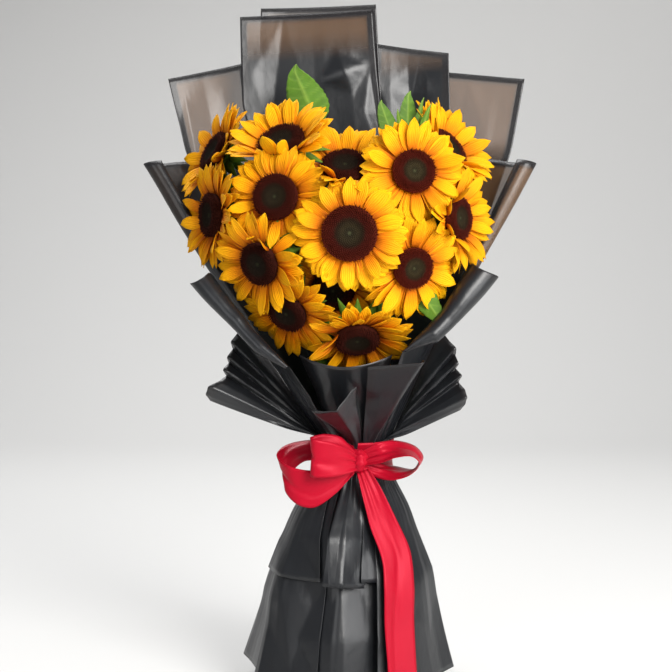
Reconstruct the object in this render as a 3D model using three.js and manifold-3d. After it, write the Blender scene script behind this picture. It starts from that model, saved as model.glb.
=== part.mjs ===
// A standing hand-tied bunch of fourteen sunflowers in a black film wrap with a red ribbon bow.
// Millimetres, +Z up, +X to the right of the front view, +Y away from it.

import * as THREE from 'three';
import { mergeVertices } from 'three/addons/utils/BufferGeometryUtils.js';
import Module from 'manifold-3d';

const wasm = await Module();
wasm.setup();

// Driving dimensions.
const tie = { x: 11, z: 238, footX: 3 }; // the middle of the stems at the tie and at the floor
const skirt = { x: -3, stretch: 0.07 }; // the middle of the wrap at the floor, and how much wider it is than deep
const disc = { radius: 25.5, sides: 16 };
const petal = { count: 20, root: 24, length: 32, width: 15, thick: 1.7, curl: 18, gap: 0.35 };
const calyx = { radius: 22, depth: 18, bracts: 7 };
const stem = { radius: 4.2, sides: 7, ringRadii: [0, 10.5, 21], footRadii: [0, 46, 86], twist: 77 };
const film = { thickness: 0.9, waist: 30, step: 1.6 };
const ribbon = { thickness: 1.0 };
const twine = { inner: 5.25, middle: 15.75, outer: 27.2, radius: 0.8, outerRadius: 1.6 };

// Each bloom: the middle of its disc, the way it turns in the front view (degrees from +X,
// anticlockwise), how far it leans from facing the front, how much its petals cup, its size, and
// its stem's place at the tie (ring, degrees) with the point behind it that the stem passes.
const blooms = [
  { at: [-133, 8, 552], turn: 150, lean: 68, cup: 20, size: 0.96, ring: [2, 180], via: [-69, 37, 489] },
  { at: [-63, -50, 560], turn: 112, lean: 52, cup: 28, size: 1, ring: [2, 225], via: [-26, 9, 412] },
  { at: [-68, -80, 506], turn: 150, lean: 20, cup: 0, size: 1, ring: [1, 306], via: [-42, -18, 471] },
  { at: [0, -58, 536], turn: 92, lean: 52, cup: 28, size: 1, ring: [1, 162], via: [2, 5, 410] },
  { at: [67, -77, 531], turn: 40, lean: 16, cup: 0, size: 1, ring: [1, 18], via: [16, 4, 424] },
  { at: [106, 4, 556], turn: 42, lean: 66, cup: 36, size: 1, ring: [2, 90], via: [48, 37, 454] },
  { at: [4, -106, 471], turn: 90, lean: 4, cup: 0, size: 1.04, ring: [0, 0], via: [3, -12, 423] },
  { at: [-134, -33, 488], turn: 178, lean: 62, cup: 10, size: 0.96, ring: [2, 270], via: [-79, -7, 476] },
  { at: [112, -50, 485], turn: 5, lean: 56, cup: 22, size: 0.98, ring: [2, 135], via: [33, 8, 436] },
  { at: [66, -86, 437], turn: -25, lean: 26, cup: 0, size: 1, ring: [1, 90], via: [31, 5, 403] },
  { at: [-84, -80, 441], turn: 205, lean: 40, cup: 10, size: 0.94, ring: [2, 0], via: [-21, -21, 427] },
  { at: [-57, -68, 392], turn: 232, lean: 42, cup: 5, size: 0.92, ring: [2, 315], via: [-33, -29, 413] },
  { at: [-12, -56, 414], turn: 262, lean: 22, cup: 5, size: 0.9, ring: [1, 234], via: [-13, 1, 419] },
  { at: [12, -70, 366], turn: 275, lean: 50, cup: 15, size: 0.98, ring: [2, 45], via: [19, -14, 397] },
];

// Leaves: the stem that carries them and how far behind its disc they grow, the share of their
// length that is a bare stalk, their tip, and their width.
const leaves = [
  { on: 3, at: 34, bare: 0.5, to: [-55, 42, 643], width: 40 },
  { on: 1, at: 50, bare: 0.3, to: [-40, 36, 612], width: 18 },
  { on: 4, at: 34, bare: 0.4, to: [36, 24, 606], width: 18 },
  { on: 4, at: 29, bare: 0.3, to: [66, 26, 616], width: 20 },
  { on: 9, at: 34, bare: 0.25, to: [98, -74, 378], width: 24 },
  { on: 9, at: 44, bare: 0.4, to: [44, -60, 500], width: 18 },
];

const centre = { x: -5.3, y: 0.8 }; // the middle of the whole bunch, seen from above

const v = (x, y, z) => new THREE.Vector3(x, y, z);
const rad = (degrees) => (degrees * Math.PI) / 180;
const mix = (a, b, t) => a + (b - a) * t;
const clamp = (x, low, high) => Math.min(Math.max(x, low), high);

// A repeatable stream of numbers from 0 to 1: the fraction of a large multiple of a sine.
function chance(seed) {
  let n = seed;
  return () => {
    n += 1;
    const x = Math.sin(n * 12.9898) * 43758.5453;
    return x - Math.floor(x);
  };
}

// A closed mesh of points and triangles.
function body(points, triangles) {
  return { points, triangles };
}

// A shell about a grid of points: each point goes half the thickness both ways along the
// grid's normal, and a rim joins the two faces, which are split into triangles alike.
function shell(grid, thickness) {
  const rows = grid.length;
  const cols = grid[0].length;
  const points = [];
  for (const side of [0.5, -0.5]) {
    for (let r = 0; r < rows; r += 1) {
      for (let c = 0; c < cols; c += 1) {
        const across = grid[r][Math.min(c + 1, cols - 1)].clone().sub(grid[r][Math.max(c - 1, 0)]);
        const along = grid[Math.min(r + 1, rows - 1)][c].clone().sub(grid[Math.max(r - 1, 0)][c]);
        const normal = across.cross(along).normalize();
        points.push(grid[r][c].clone().addScaledVector(normal, side * thickness));
      }
    }
  }
  const half = rows * cols;
  const at = (r, c) => r * cols + c;
  const triangles = [];
  const rim = (a, b) => triangles.push([b, a, a + half], [b, a + half, b + half]);
  for (let r = 0; r + 1 < rows; r += 1) {
    for (let c = 0; c + 1 < cols; c += 1) {
      const [a, b, d, e] = [at(r, c), at(r, c + 1), at(r + 1, c + 1), at(r + 1, c)];
      triangles.push([a, b, d], [a, d, e]);
      triangles.push([b + half, a + half, d + half], [d + half, a + half, e + half]);
    }
  }
  for (let c = 0; c + 1 < cols; c += 1) {
    rim(at(0, c), at(0, c + 1));
    rim(at(rows - 1, c + 1), at(rows - 1, c));
  }
  for (let r = 0; r + 1 < rows; r += 1) {
    rim(at(r, cols - 1), at(r + 1, cols - 1));
    rim(at(r + 1, 0), at(r, 0));
  }
  return body(points, triangles);
}

// A pointed blade along a line: each station has a left edge, a raised middle and a right
// edge, and the last point of the line is the tip.
function blade(line, widths, side, up, thick) {
  const points = [];
  line.slice(0, -1).forEach((p, i) => {
    const w = widths[i] / 2;
    points.push(
      p.clone().addScaledVector(side, -w).addScaledVector(up[i], -thick * 0.35),
      p.clone().addScaledVector(side, w).addScaledVector(up[i], -thick * 0.35),
      p.clone().addScaledVector(up[i], thick * 0.65),
    );
  });
  points.push(line[line.length - 1].clone());
  const last = points.length - 1;
  const triangles = [[0, 2, 1]];
  for (let i = 0; i < line.length - 2; i += 1) {
    for (const [a, b] of [[0, 1], [1, 2], [2, 0]]) {
      const [p, q] = [3 * i + a, 3 * i + b];
      triangles.push([p, q, q + 3], [p, q + 3, p + 3]);
    }
  }
  for (const [a, b] of [[0, 1], [1, 2], [2, 0]]) {
    triangles.push([last - 3 + a, last - 3 + b, last]);
  }
  return body(points, triangles);
}

// A tube through points with a radius at each: its first and last rings are level where asked.
function tube(line, radii, sides, levelStart) {
  const points = [];
  let x = v(1, 0, 0);
  line.forEach((p, i) => {
    const along = line[Math.min(i + 1, line.length - 1)].clone().sub(line[Math.max(i - 1, 0)]);
    if (i === 0 && levelStart) along.set(0, 0, 1);
    along.normalize();
    x = x.addScaledVector(along, -x.dot(along)).normalize();
    const y = along.clone().cross(x);
    for (let k = 0; k < sides; k += 1) {
      const angle = (2 * Math.PI * k) / sides;
      points.push(p.clone()
        .addScaledVector(x, Math.cos(angle) * radii[i])
        .addScaledVector(y, Math.sin(angle) * radii[i]));
    }
  });
  const triangles = [];
  for (let i = 0; i + 1 < line.length; i += 1) {
    for (let k = 0; k < sides; k += 1) {
      const [a, b] = [i * sides + k, i * sides + ((k + 1) % sides)];
      triangles.push([a, b, b + sides], [a, b + sides, a + sides]);
    }
  }
  const top = (line.length - 1) * sides;
  for (let k = 1; k + 1 < sides; k += 1) {
    triangles.push([0, k + 1, k], [top, top + k, top + k + 1]);
  }
  return body(points, triangles);
}

function manifoldOf({ points, triangles }) {
  return new wasm.Manifold(new wasm.Mesh({
    numProp: 3,
    vertProperties: new Float32Array(points.flatMap((p) => [p.x, p.y, p.z])),
    triVerts: new Uint32Array(triangles.flat()),
  }));
}

// A turned solid about an axis, from a profile of [radius, height] pairs that starts and ends
// on the axis. The relief moves each point along the axis.
function turned(profile, sides, matrix, relief = () => 0) {
  const lathe = new THREE.LatheGeometry(profile.map(([r, h]) => new THREE.Vector2(r, h)), sides);
  lathe.deleteAttribute('normal');
  lathe.deleteAttribute('uv');
  const merged = mergeVertices(lathe, 1e-4);
  const place = merged.getAttribute('position');
  const points = [];
  for (let i = 0; i < place.count; i += 1) {
    const p = v(place.getX(i), place.getY(i), place.getZ(i));
    p.y += relief(Math.hypot(p.x, p.z), Math.atan2(p.x, p.z), p.y);
    points.push(p.applyMatrix4(matrix));
  }
  const index = merged.getIndex();
  const triangles = [];
  for (let i = 0; i < index.count; i += 3) {
    const [a, b, c] = [index.getX(i), index.getX(i + 1), index.getX(i + 2)];
    if (a !== b && b !== c && c !== a) triangles.push([a, b, c]);
  }
  return body(points, triangles);
}

const group = new THREE.Group();
const looks = {
  petals: { color: 0xf7b509, roughness: 0.6 },
  disc: { color: 0x3a1712, roughness: 0.85 },
  stem: { color: 0x5f8f33, roughness: 0.6 },
  wrap: { color: 0x2b2a2d, roughness: 0.38 },
  ribbon: { color: 0xd4152f, roughness: 0.45 },
  binding: { color: 0xb59a6a, roughness: 0.8 },
};
const materials = Object.fromEntries(
  Object.entries(looks).map(([name, look]) => [name, new THREE.MeshStandardMaterial(look)]),
);

function add(name, look, manifold) {
  const { vertProperties, triVerts } = manifold.getMesh();
  const geometry = new THREE.BufferGeometry();
  geometry.setAttribute('position', new THREE.BufferAttribute(new Float32Array(vertProperties), 3));
  geometry.setIndex(new THREE.BufferAttribute(new Uint32Array(triVerts), 1));
  const mesh = new THREE.Mesh(geometry, materials[look]);
  mesh.name = name;
  group.add(mesh);
}

// The film wrap. Every sheet passes the tie as an arc and is a grid of rows from its skirt hem
// up to its top edge. A row is a function of s, which runs from 0 to 1 across the sheet.
const axisX = (z) => mix(skirt.x, tie.x, clamp(z / tie.z, 0, 1));

// An arc about the bunch's middle, with angles from +X, anticlockwise from above. The radius
// has a gentle fold that grows towards the hem.
const arc = (from, to, radius, z) => (s) => {
  const angle = rad(mix(from, to, s));
  const fold = clamp((200 - z) / 200, 0, 1) * 3 * Math.sin(7 * angle + 1);
  const r = radius + fold;
  const wide = 1 + skirt.stretch * clamp((200 - z) / 200, 0, 1);
  return v(axisX(z) + wide * r * Math.cos(angle), r * Math.sin(angle), z);
};

// A straight edge between two points that bulges by a vector in its middle.
const edge = (p, q, bulge = [0, 0, 0]) => (s) => v(...p).lerp(v(...q), s)
  .addScaledVector(v(...bulge), 4 * s * (1 - s));

// An edge through given points, even in their number.
const path = (...list) => (s) => {
  const place = s * (list.length - 1);
  const i = Math.min(Math.floor(place), list.length - 2);
  return v(...list[i]).lerp(v(...list[i + 1]), place - i);
};

// A straight edge from p to q that then rolls round a circle: it turns by so many degrees from
// its own direction towards the given one.
const rolled = (p, q, radius, turn, towards) => (s) => {
  const straight = 0.5;
  if (s <= straight) return v(...p).lerp(v(...q), s / straight);
  const on = v(...q).sub(v(...p)).normalize();
  const out = v(...towards).addScaledVector(on, -v(...towards).dot(on)).normalize();
  const angle = rad(turn) * ((s - straight) / (1 - straight));
  return v(...q).addScaledVector(on, radius * Math.sin(angle))
    .addScaledVector(out, radius * (1 - Math.cos(angle)));
};

// The rows of a top edge that rolls forwards and down into a tube along a line. The tube widens
// towards its open end, which is cut back by a share of its length at the front.
const collarRows = (base, { line, radii, cut }) => [0, 48, 96, 144, 192, 240].map((turn) => (s) => {
  const t = s * (1 - cut * Math.max(0, Math.sin(rad(turn))));
  const axis = line(1).sub(line(0)).normalize();
  const on = line(t).sub(base(t));
  on.addScaledVector(axis, -on.dot(axis)).normalize();
  const out = axis.cross(on);
  if (out.z > 0) out.negate();
  const radius = mix(radii[0], radii[1], t);
  return line(t).addScaledVector(on, radius * Math.sin(rad(turn)))
    .addScaledVector(out, radius * (1 - Math.cos(rad(turn))));
});

// Each sheet lies in a layer, counted outwards from the stems. The same layer rule holds at the
// tie and down the skirt, so no two sheets cross there.
const layerRadius = (layer, z) => {
  const steps = [[16, 97.5 + 3.6 * layer], [120, 73.5 + 3.2 * layer], [185, 52.6 + 2.6 * layer],
    [220, film.waist + film.step * layer + 3]];
  const i = steps.findIndex(([height], k) => z <= height || k === steps.length - 1);
  const [[z0, r0], [z1, r1]] = [steps[Math.max(i - 1, 0)], steps[Math.max(i, 1)]];
  return mix(r0, r1, (z - z0) / (z1 - z0));
};

// The rows of a sheet from its hem to just above the tie: the angles run from those of the
// hem to those of the waist.
const lower = (layer, hem, waist, hemZ) => {
  const heights = [hemZ, 120, 185].filter((z) => z <= 120 || z > hemZ);
  const rows = [...new Set(heights)].map((z) => {
    const t = clamp((z - 16) / 204, 0, 1) ** 2;
    return arc(mix(hem[0], waist[0], t), mix(hem[1], waist[1], t), layerRadius(layer, z), z);
  });
  const r = film.waist + film.step * layer;
  return [...rows, arc(...waist, r + 3, 220), arc(...waist, r, 240), arc(...waist, r + 2.6, 258)];
};

const collarLines = {
  left: edge([-56, -86, 340], [-139, -42, 436], [0, -2, -3]),
  right: edge([56, -86, 356], [129, -46, 444], [0, -2, -3]),
};

const sheets = {
  wrap_back_tall: {
    columns: 7,
    rows: [...lower(0, [118, 62], [118, 62], 16),
      edge([-70, 62, 500], [42, 66, 500], [0, 6, 0]),
      edge([-109, 76, 600], [38, 84, 600], [0, 6, 0]),
      edge([-112, 90, 699], [30, 96, 708], [0, 6, 0])],
  },
  wrap_back_tall_rear: {
    columns: 7,
    rows: [...lower(1, [124, 56], [124, 56], 18),
      edge([-62, 72, 500], [43, 74, 500], [0, 6, 0]),
      edge([-92, 86, 600], [40, 91, 600], [0, 6, 0]),
      edge([-90, 99, 709], [34, 103, 714], [0, 6, 0])],
  },
  wrap_back_left: {
    columns: 7,
    rows: [...lower(2, [160, 100], [162, 96], 22),
      edge([-140, 76, 480], [-50, 86, 480], [0, 6, 0]),
      edge([-170, 86, 556], [-96, 101, 560], [0, 5, 0]),
      edge([-190, 96, 634], [-108, 110, 652], [0, 5, 0])],
  },
  wrap_back_right: {
    columns: 7,
    rows: [...lower(2, [84, 28], [86, 25], 18),
      edge([24, 84, 480], [104, 74, 480], [0, 6, 0]),
      edge([33, 98, 580], [114, 90, 590], [0, 5, 0]),
      edge([33, 111, 673], [113, 104, 662], [0, 4, 0])],
  },
  wrap_back_far_right: {
    columns: 7,
    rows: [...lower(3, [66, 10], [78, 18], 24),
      edge([40, 96, 480], [152, 70, 480], [0, 6, 0]),
      edge([56, 108, 570], [180, 86, 555], [0, 6, 0]),
      edge([58, 118, 648], [195, 100, 634], [0, 5, 0])],
  },
  wrap_wing_left: {
    columns: 10,
    rows: [...lower(1, [154, 228], [132, 202], 26),
      rolled([-72, 62, 437], [-142, 8, 437], 8, 190, [1, -1, 0]),
      rolled([-120, 74, 550], [-203, 36, 540], 11, 210, [1, -1, 0.3])],
  },
  wrap_wing_right: {
    columns: 10,
    rows: [...lower(1, [14, -62], [48, -8], 18),
      rolled([74, 62, 437], [138, 8, 439], 8, 190, [-1, -1, 0]),
      rolled([122, 74, 550], [193, 36, 541], 11, 210, [-1, -1, 0.3])],
  },
  wrap_collar_left: {
    columns: 7,
    collar: { line: collarLines.left, radii: [6, 13], cut: 0.1 },
    rows: lower(2, [256, 214], [248, 176], 14),
  },
  wrap_collar_right: {
    columns: 7,
    collar: { line: collarLines.right, radii: [10, 17], cut: 0.1 },
    rows: lower(2, [-72, -36], [-66, -8], 16),
  },
  wrap_apron: {
    columns: 7,
    rows: [...lower(0, [246, 294], [238, 302], 12),
      edge([-46, -70, 350], [46, -70, 351], [0, -16, -10])],
  },
  wrap_pleats_left: {
    columns: 12,
    rows: [...lower(3, [174, 254], [168, 236], 122),
      edge([-55, -8, 304], [-57, -27, 269]),
      path([-101, -16, 378], [-110, -18, 367], [-115, -25, 360], [-115, -19, 352],
        [-119, -28, 345], [-119, -22, 338], [-123, -31, 332], [-122, -25, 325],
        [-128, -34, 320], [-137, -40, 315], [-140, -34, 307], [-137, -27, 300])],
  },
  wrap_pleats_right: {
    columns: 12,
    rows: [...lower(3, [3, -60], [6, -56], 18),
      edge([66, -7, 301], [58, -28, 262]),
      path([97, -14, 373], [106, -21, 361], [112, -28, 354], [113, -23, 346],
        [115, -31, 339], [114, -24, 332], [118, -34, 326], [117, -27, 318],
        [121, -37, 312], [123, -41, 304], [122, -34, 296], [118, -27, 289])],
  },
  wrap_front_fold: {
    columns: 8,
    rows: [...lower(3, [276, 294], [281, 301], 122),
      rolled([22, -100, 342], [72, -109, 346], 4.5, 160, [0, 1, 0.2])],
  },
  wrap_front_cone: {
    columns: 9,
    rows: [...lower(4, [254, 272], [255, 279], 118),
      path([-35, -80, 312], [-41, -92, 320], [-31, -107, 312], [-9, -111, 310], [11, -99, 321])],
  },
};

const wraps = [];
for (const [name, { rows, columns, collar }] of Object.entries(sheets)) {
  if (collar) rows.push(...collarRows(rows.at(-1), collar));
  const grid = rows.map((row) => Array.from({ length: columns }, (_, c) => row(c / (columns - 1))));
  const sheet = manifoldOf(shell(grid, film.thickness));
  wraps.push(sheet);
  add(name, 'wrap', sheet);
}

// The ribbon: a band round the waist, and straps given by points along their middle with the
// vector across them.
const strap = (list, thickness = ribbon.thickness) => manifoldOf(shell(
  list.map(([x, y, z, wx, wy, wz]) => [-0.5, 0, 0.5].map(
    (side) => v(x, y, z).addScaledVector(v(wx, wy, wz), side),
  )),
  thickness,
));

const upright = new THREE.Matrix4().makeRotationX(Math.PI / 2);
const bandMatrix = new THREE.Matrix4().makeTranslation(tie.x, 0, 0).multiply(upright);
add('ribbon_band', 'ribbon', manifoldOf(turned(
  [[40.6, 221], [41.6, 221], [38.7, 240], [41.3, 258], [40.3, 258], [37.7, 240], [40.6, 221]],
  32, bandMatrix,
)));

// A rounded knot, and the loops that leave it. The right loop is seen nearly along its axis.
const knotMatrix = new THREE.Matrix4().makeTranslation(13, -47, 240)
  .multiply(new THREE.Matrix4().makeScale(1, 0.72, 1.15)).multiply(upright);
const knot = manifoldOf(turned(
  [[0, -11], [6, -10], [10, -5], [11, 0], [10, 5], [6, 10], [0, 11]], 10, knotMatrix,
));
const bow = [
  // Right loop.
  [[16, -47, 242, 0, 2, 14], [36, -52, 249, -2, 9, 20], [54, -47, 252, 0, 32, 12],
    [70, -45, 249, 5, 35, 5], [77, -43, 240, 6, 36, 1], [70, -43, 230, 5, 35, -2],
    [52, -43, 228, 2, 32, 9], [34, -44, 231, 0, 9, 16], [16, -49, 238, 0, 2, 14]],
  // Left loop behind, hanging lower.
  [[10, -45, 243, 0, 2, 14], [-16, -46, 250, 0, 16, 20], [-42, -39, 250, -4, 26, 16],
    [-58, -43, 242, -10, 24, 22], [-64, -55, 230, -8, 6, 32], [-52, -65, 219, -6, 0, 38],
    [-30, -65, 215, 2, 0, 38], [-8, -59, 224, 4, 2, 30], [10, -52, 236, 2, 2, 14]],
  // Short loop in front, folded over to the left.
  [[10, -51, 246, 0, 2, 12], [-6, -61, 254, 4, 0, 26], [-22, -67, 253, 2, 0, 36],
    [-32, -71, 250, 0, 0, 38], [-34, -76, 249, 0, 0, 39], [-30, -79, 248, 0, 0, 39],
    [-14, -75, 246, 0, 0, 36], [0, -66, 243, 0, 0, 26], [11, -57, 240, 0, 2, 14]],
].map((list) => strap(list));
add('ribbon_bow', 'ribbon', bow.reduce((sum, part) => sum.add(part), knot));

add('ribbon_tail', 'ribbon', strap([
  [18, -52.1, 231, 11, 2, 5], [26, -58.5, 212, 18, 5, 8], [38, -62, 180, 26, 12, 8],
  [51, -66, 148, 29, 18, 6], [54, -74, 118, 31, 19, -2], [54, -81, 84, 30, 18, 2],
  [56, -89, 48, 29, 17, 0], [58, -97, 13, 29, 16, 0]]));

// The blooms. A bloom's own frame has its right, its up and the way it faces.
const frames = blooms.map(({ at, turn, lean }) => {
  const face = v(Math.sin(rad(lean)) * Math.cos(rad(turn)), -Math.cos(rad(lean)),
    Math.sin(rad(lean)) * Math.sin(rad(turn)));
  const right = v(-face.y, face.x, 0).normalize();
  const up = face.clone().cross(right);
  return { at: v(...at), face, right, up };
});

// A point of a bloom: so far from its axis at an angle round it, and so high above its disc.
const onBloom = ({ at, face, right, up }, radius, angle, height) => at.clone()
  .addScaledVector(right, radius * Math.cos(angle))
  .addScaledVector(up, radius * Math.sin(angle))
  .addScaledVector(face, height);

const bloomMatrix = ({ at, face, right, up }) => new THREE.Matrix4()
  .makeBasis(right, face, up.clone().negate()).setPosition(at);

// The disc: a low cushion with a dimple, its florets as alternate raised and sunk points.
const discs = blooms.map(({ size }, k) => {
  const r = disc.radius * size;
  const bead = (2 * Math.PI) / disc.sides;
  const relief = (radius, angle, height) => {
    if (height < 4 || radius < 0.2 * r) return 0;
    return Math.round(angle / bead + (radius > 0.6 * r ? 1 : 0)) % 2 ? 0.9 : -0.4;
  };
  return manifoldOf(turned([[0, -2], [0.86 * r, -2], [r, 1], [0.86 * r, 4.6], [0.55 * r, 5.6],
    [0, 3.2]], disc.sides, bloomMatrix(frames[k]), relief));
});

// A leaf: a blade with a wide lower half, folded along its rib and bowed back at its tip.
const leafOf = (p, { to, width, bare }) => {
  const along = v(...to).sub(p);
  const side = v(0, -1, 0.25).cross(along).normalize();
  const up = along.clone().cross(side).normalize();
  const line = [0, bare, mix(bare, 1, 0.34), mix(bare, 1, 0.7), 1].map(
    (t) => p.clone().addScaledVector(along, t).addScaledVector(up, 0.2 * along.length() * t * (1 - t)),
  );
  const widths = [3, 4, width, 0.74 * width];
  return manifoldOf(blade(line, widths, side, line.map(() => up), 1.8));
};

const boxed = (solid) => {
  const { min, max } = solid.boundingBox();
  return { solid, min, max };
};
const meets = (a, b) => [0, 1, 2].every((i) => a.min[i] < b.max[i] && b.min[i] < a.max[i])
  && a.solid.intersect(b.solid).volume() > 0;

// The stalks: straight from the foot to the tie, then curved behind the bloom, where each
// flares into its calyx.
const curves = blooms.map(({ ring, via, size }, k) => {
  const [which, degrees] = ring;
  const r = stem.ringRadii[which];
  const foot = stem.footRadii[which];
  const footAngle = rad(degrees + (which ? stem.twist : 0));
  return new THREE.CatmullRomCurve3([
    v(tie.footX + foot * Math.cos(footAngle), foot * Math.sin(footAngle), 0),
    v(tie.x + r * Math.cos(rad(degrees)), r * Math.sin(rad(degrees)), tie.z),
    v(...via), onBloom(frames[k], 0, 0, -50 * size), onBloom(frames[k], 0, 0, -22 * size),
  ], false, 'centripetal');
});
const stalks = curves.map((curve, k) => {
  const c = calyx.radius * blooms[k].size;
  const flare = [[0.21, -5.6 - calyx.depth], [0.66, -13], [1, -7], [1, -5.6]];
  const line = [0, 4, 6, 8, 10, 12].map((i) => curve.getPoint(i / 16))
    .concat(flare.map(([, h]) => onBloom(frames[k], 0, 0, h * blooms[k].size)));
  const radii = line.map((_, i) => (i < 6 ? stem.radius : flare[i - 6][0] * c));
  return manifoldOf(tube(line, radii, stem.sides, true));
});

// The twine: a turn round the middle stem, one between the two rings of stems and one round them
// all, with the strands that lead from each turn to the next.
const turnOf = (radius, thick) => {
  const profile = Array.from({ length: 7 }, (_, i) => [
    radius + thick * Math.cos((i * Math.PI) / 3), thick * Math.sin((i * Math.PI) / 3)]);
  return manifoldOf(turned(profile, 24, tieMatrix));
};
const strand = (from, to, degrees) => {
  const out = v(Math.cos(rad(degrees)), Math.sin(rad(degrees)), 0);
  const middle = v(tie.x, 0, tie.z);
  return manifoldOf(tube([from, to].map((r) => middle.clone().addScaledVector(out, r)),
    [0.6, 0.6], 6, false));
};
const tieMatrix = new THREE.Matrix4().makeTranslation(tie.x, 0, tie.z).multiply(upright);
add('binding', 'binding', [
  turnOf(twine.middle, twine.radius), turnOf(twine.outer, twine.outerRadius),
  strand(twine.inner, twine.middle, 54), strand(twine.middle, twine.outer, 67.5),
].reduce((sum, part) => sum.add(part), turnOf(twine.inner, twine.radius)));

// The plates that carry the petals, under each disc.
const plates = blooms.map(({ size }, k) => manifoldOf(turned(
  [[0, -5.2 * size], [26 * size, -5.2 * size], [26 * size, -2.1 * size], [0, -2.1 * size]],
  12, bloomMatrix(frames[k]),
)));

// The leaves and the calyx's bracts grow on the stalks, and one that would cross another piece
// is left out.
const stems = [];
const standing = [...wraps, ...discs, ...plates, ...stalks].map(boxed);
blooms.forEach(({ size }, k) => {
  const frame = frames[k];
  const c = calyx.radius * size;
  const bracts = Array.from({ length: calyx.bracts }, (_, i) => {
    const angle = (2 * Math.PI * (i + 0.3 * (k % 3))) / calyx.bracts;
    const points = [[0.6, -11.5], [1.3, -13.5], [2.05, -22]].map(
      ([x, h]) => onBloom(frame, c * x, angle, h * size),
    );
    const side = onBloom(frame, 1, angle + Math.PI / 2, 0).sub(frame.at);
    return manifoldOf(blade(points, [6, 11], side, points.map(() => frame.face), 1.6));
  });
  const grown = leaves.filter(({ on }) => on === k)
    .map((leaf) => leafOf(onBloom(frame, 0, 0, -leaf.at * size), leaf));
  const own = [stalks[k], plates[k], discs[k]];
  const others = standing.filter(({ solid }) => !own.includes(solid));
  stems[k] = [...bracts, ...grown].reduce((sum, part) => {
    const clear = !others.some((solid) => meets(boxed(part), solid));
    return clear ? sum.add(part) : sum;
  }, stalks[k]);
  standing.push(boxed(stems[k]));
});

// The four-sided sections of a petal. It leaves the side of its plate under the disc's rim,
// bends to its own slope, curls back towards its tip and stays inside its share of the ring.
const sector = Math.PI / petal.count;
const petalSections = (frame, size, { angle, bend, length, width }, grow = 0) => {
  const slopes = [bend, bend - 0.5 * petal.curl, bend - petal.curl].map(rad);
  const steps = [0.36 * length, 0.3 * length, 0.34 * length + grow];
  const places = [[petal.root, -3.7]];
  slopes.forEach((slope, i) => {
    const [r, h] = places[i];
    places.push([r + steps[i] * Math.cos(slope), h + steps[i] * Math.sin(slope)]);
  });
  const at = (r, turn, h) => onBloom(frame, r * size, angle + turn, h * size);
  const root = [[-1, -1.3], [1, -1.3], [1, 1.4], [-1, 1.4]].map(
    ([way, h]) => at(petal.root / Math.cos(sector), way * sector, -3.7 + h),
  );
  const middle = [1, 2].map((i) => {
    const [r, h] = places[i];
    const half = Math.min(0.5 * width * (i === 1 ? 0.86 : 1), 0.985 * r * Math.tan(sector)) + grow;
    const thick = petal.thick + 2 * grow;
    return [at(r, 0, h - 0.35 * thick), at(Math.hypot(r, half), Math.atan2(half, r), h),
      at(r, 0, h + 0.65 * thick), at(Math.hypot(r, half), -Math.atan2(half, r), h)];
  });
  return [root, ...middle, [at(places[3][0], 0, places[3][1])]];
};

// The skin between a petal's sections, as triangles of its points in order.
const petalSkin = () => {
  const triangles = [];
  for (let i = 0; i < 4; i += 1) {
    const n = (i + 1) % 4;
    triangles.push([i, n, 4 + i], [n, 4 + n, 4 + i]);
    triangles.push([4 + i, 4 + n, 8 + n], [4 + i, 8 + n, 8 + i], [8 + i, 8 + n, 12]);
  }
  return triangles;
};

const petalOf = (...shape) => manifoldOf(body(
  petalSections(...shape).flat(),
  [...petalSkin(), [0, 2, 1], [0, 3, 2]],
));

// All petals of a bloom as one body: a plate whose sides run out into the petals.
const petalRing = (frame, size, shapes) => {
  const points = [];
  const triangles = [];
  const put = (p) => {
    const found = points.findIndex((q) => q.distanceToSquared(p) < 1e-8);
    return found < 0 ? points.push(p) - 1 : found;
  };
  const top = [];
  const bottom = [];
  shapes.forEach((shape) => {
    const sections = petalSections(frame, size, shape);
    const index = sections.flat().map(put);
    const skin = shape.gone ? [[0, 1, 2], [0, 2, 3]] : petalSkin();
    triangles.push(...skin.map((triangle) => triangle.map((i) => index[i])));
    bottom.push(index[0]);
    top.push(index[3]);
  });
  for (let i = 1; i + 1 < shapes.length; i += 1) {
    triangles.push([top[0], top[i], top[i + 1]], [bottom[0], bottom[i + 1], bottom[i]]);
  }
  return manifoldOf(body(points, triangles));
};

// Each petal takes the first slope near its own that misses everything else, and one that
// finds none is left out.
const obstacles = [...wraps, ...discs, ...stems, ...plates].map(boxed);
const order = [6, 4, 2, 9, 1, 3, 10, 8, 11, 13, 12, 7, 5, 0];
const tries = [0, -10, 10, -20, 20, -32, 32, -45, 45, 58];
const petalSets = [];
for (const k of order) {
  const { size, cup } = blooms[k];
  const frame = frames[k];
  const draw = chance(100 * k);
  const own = [discs[k], stems[k]].map(boxed);
  const others = obstacles.filter(({ solid }) => ![discs[k], stems[k], plates[k]].includes(solid));
  const shapes = Array.from({ length: petal.count }, (_, i) => {
    const front = i % 2;
    const shape = {
      angle: 2 * sector * i,
      bend: cup + (front ? 17 : 1) + 8 * (draw() - 0.5),
      length: petal.length * (cup ? 1 : 0.88) * (0.93 + 0.12 * draw()) + (front ? -1 : 1),
      width: petal.width * (0.92 + 0.16 * draw()),
    };
    const change = tries.find((turnBy) => {
      const bent = { ...shape, bend: shape.bend + turnBy };
      const thin = boxed(petalOf(frame, size, bent));
      const wide = boxed(petalOf(frame, size, bent, petal.gap));
      return !own.some((solid) => meets(thin, solid)) && !others.some((solid) => meets(wide, solid));
    });
    return { ...shape, bend: shape.bend + (change ?? 0), gone: change === undefined };
  });
  petalSets[k] = petalRing(frame, size, shapes);
  obstacles.push(boxed(petalSets[k]));
}

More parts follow.
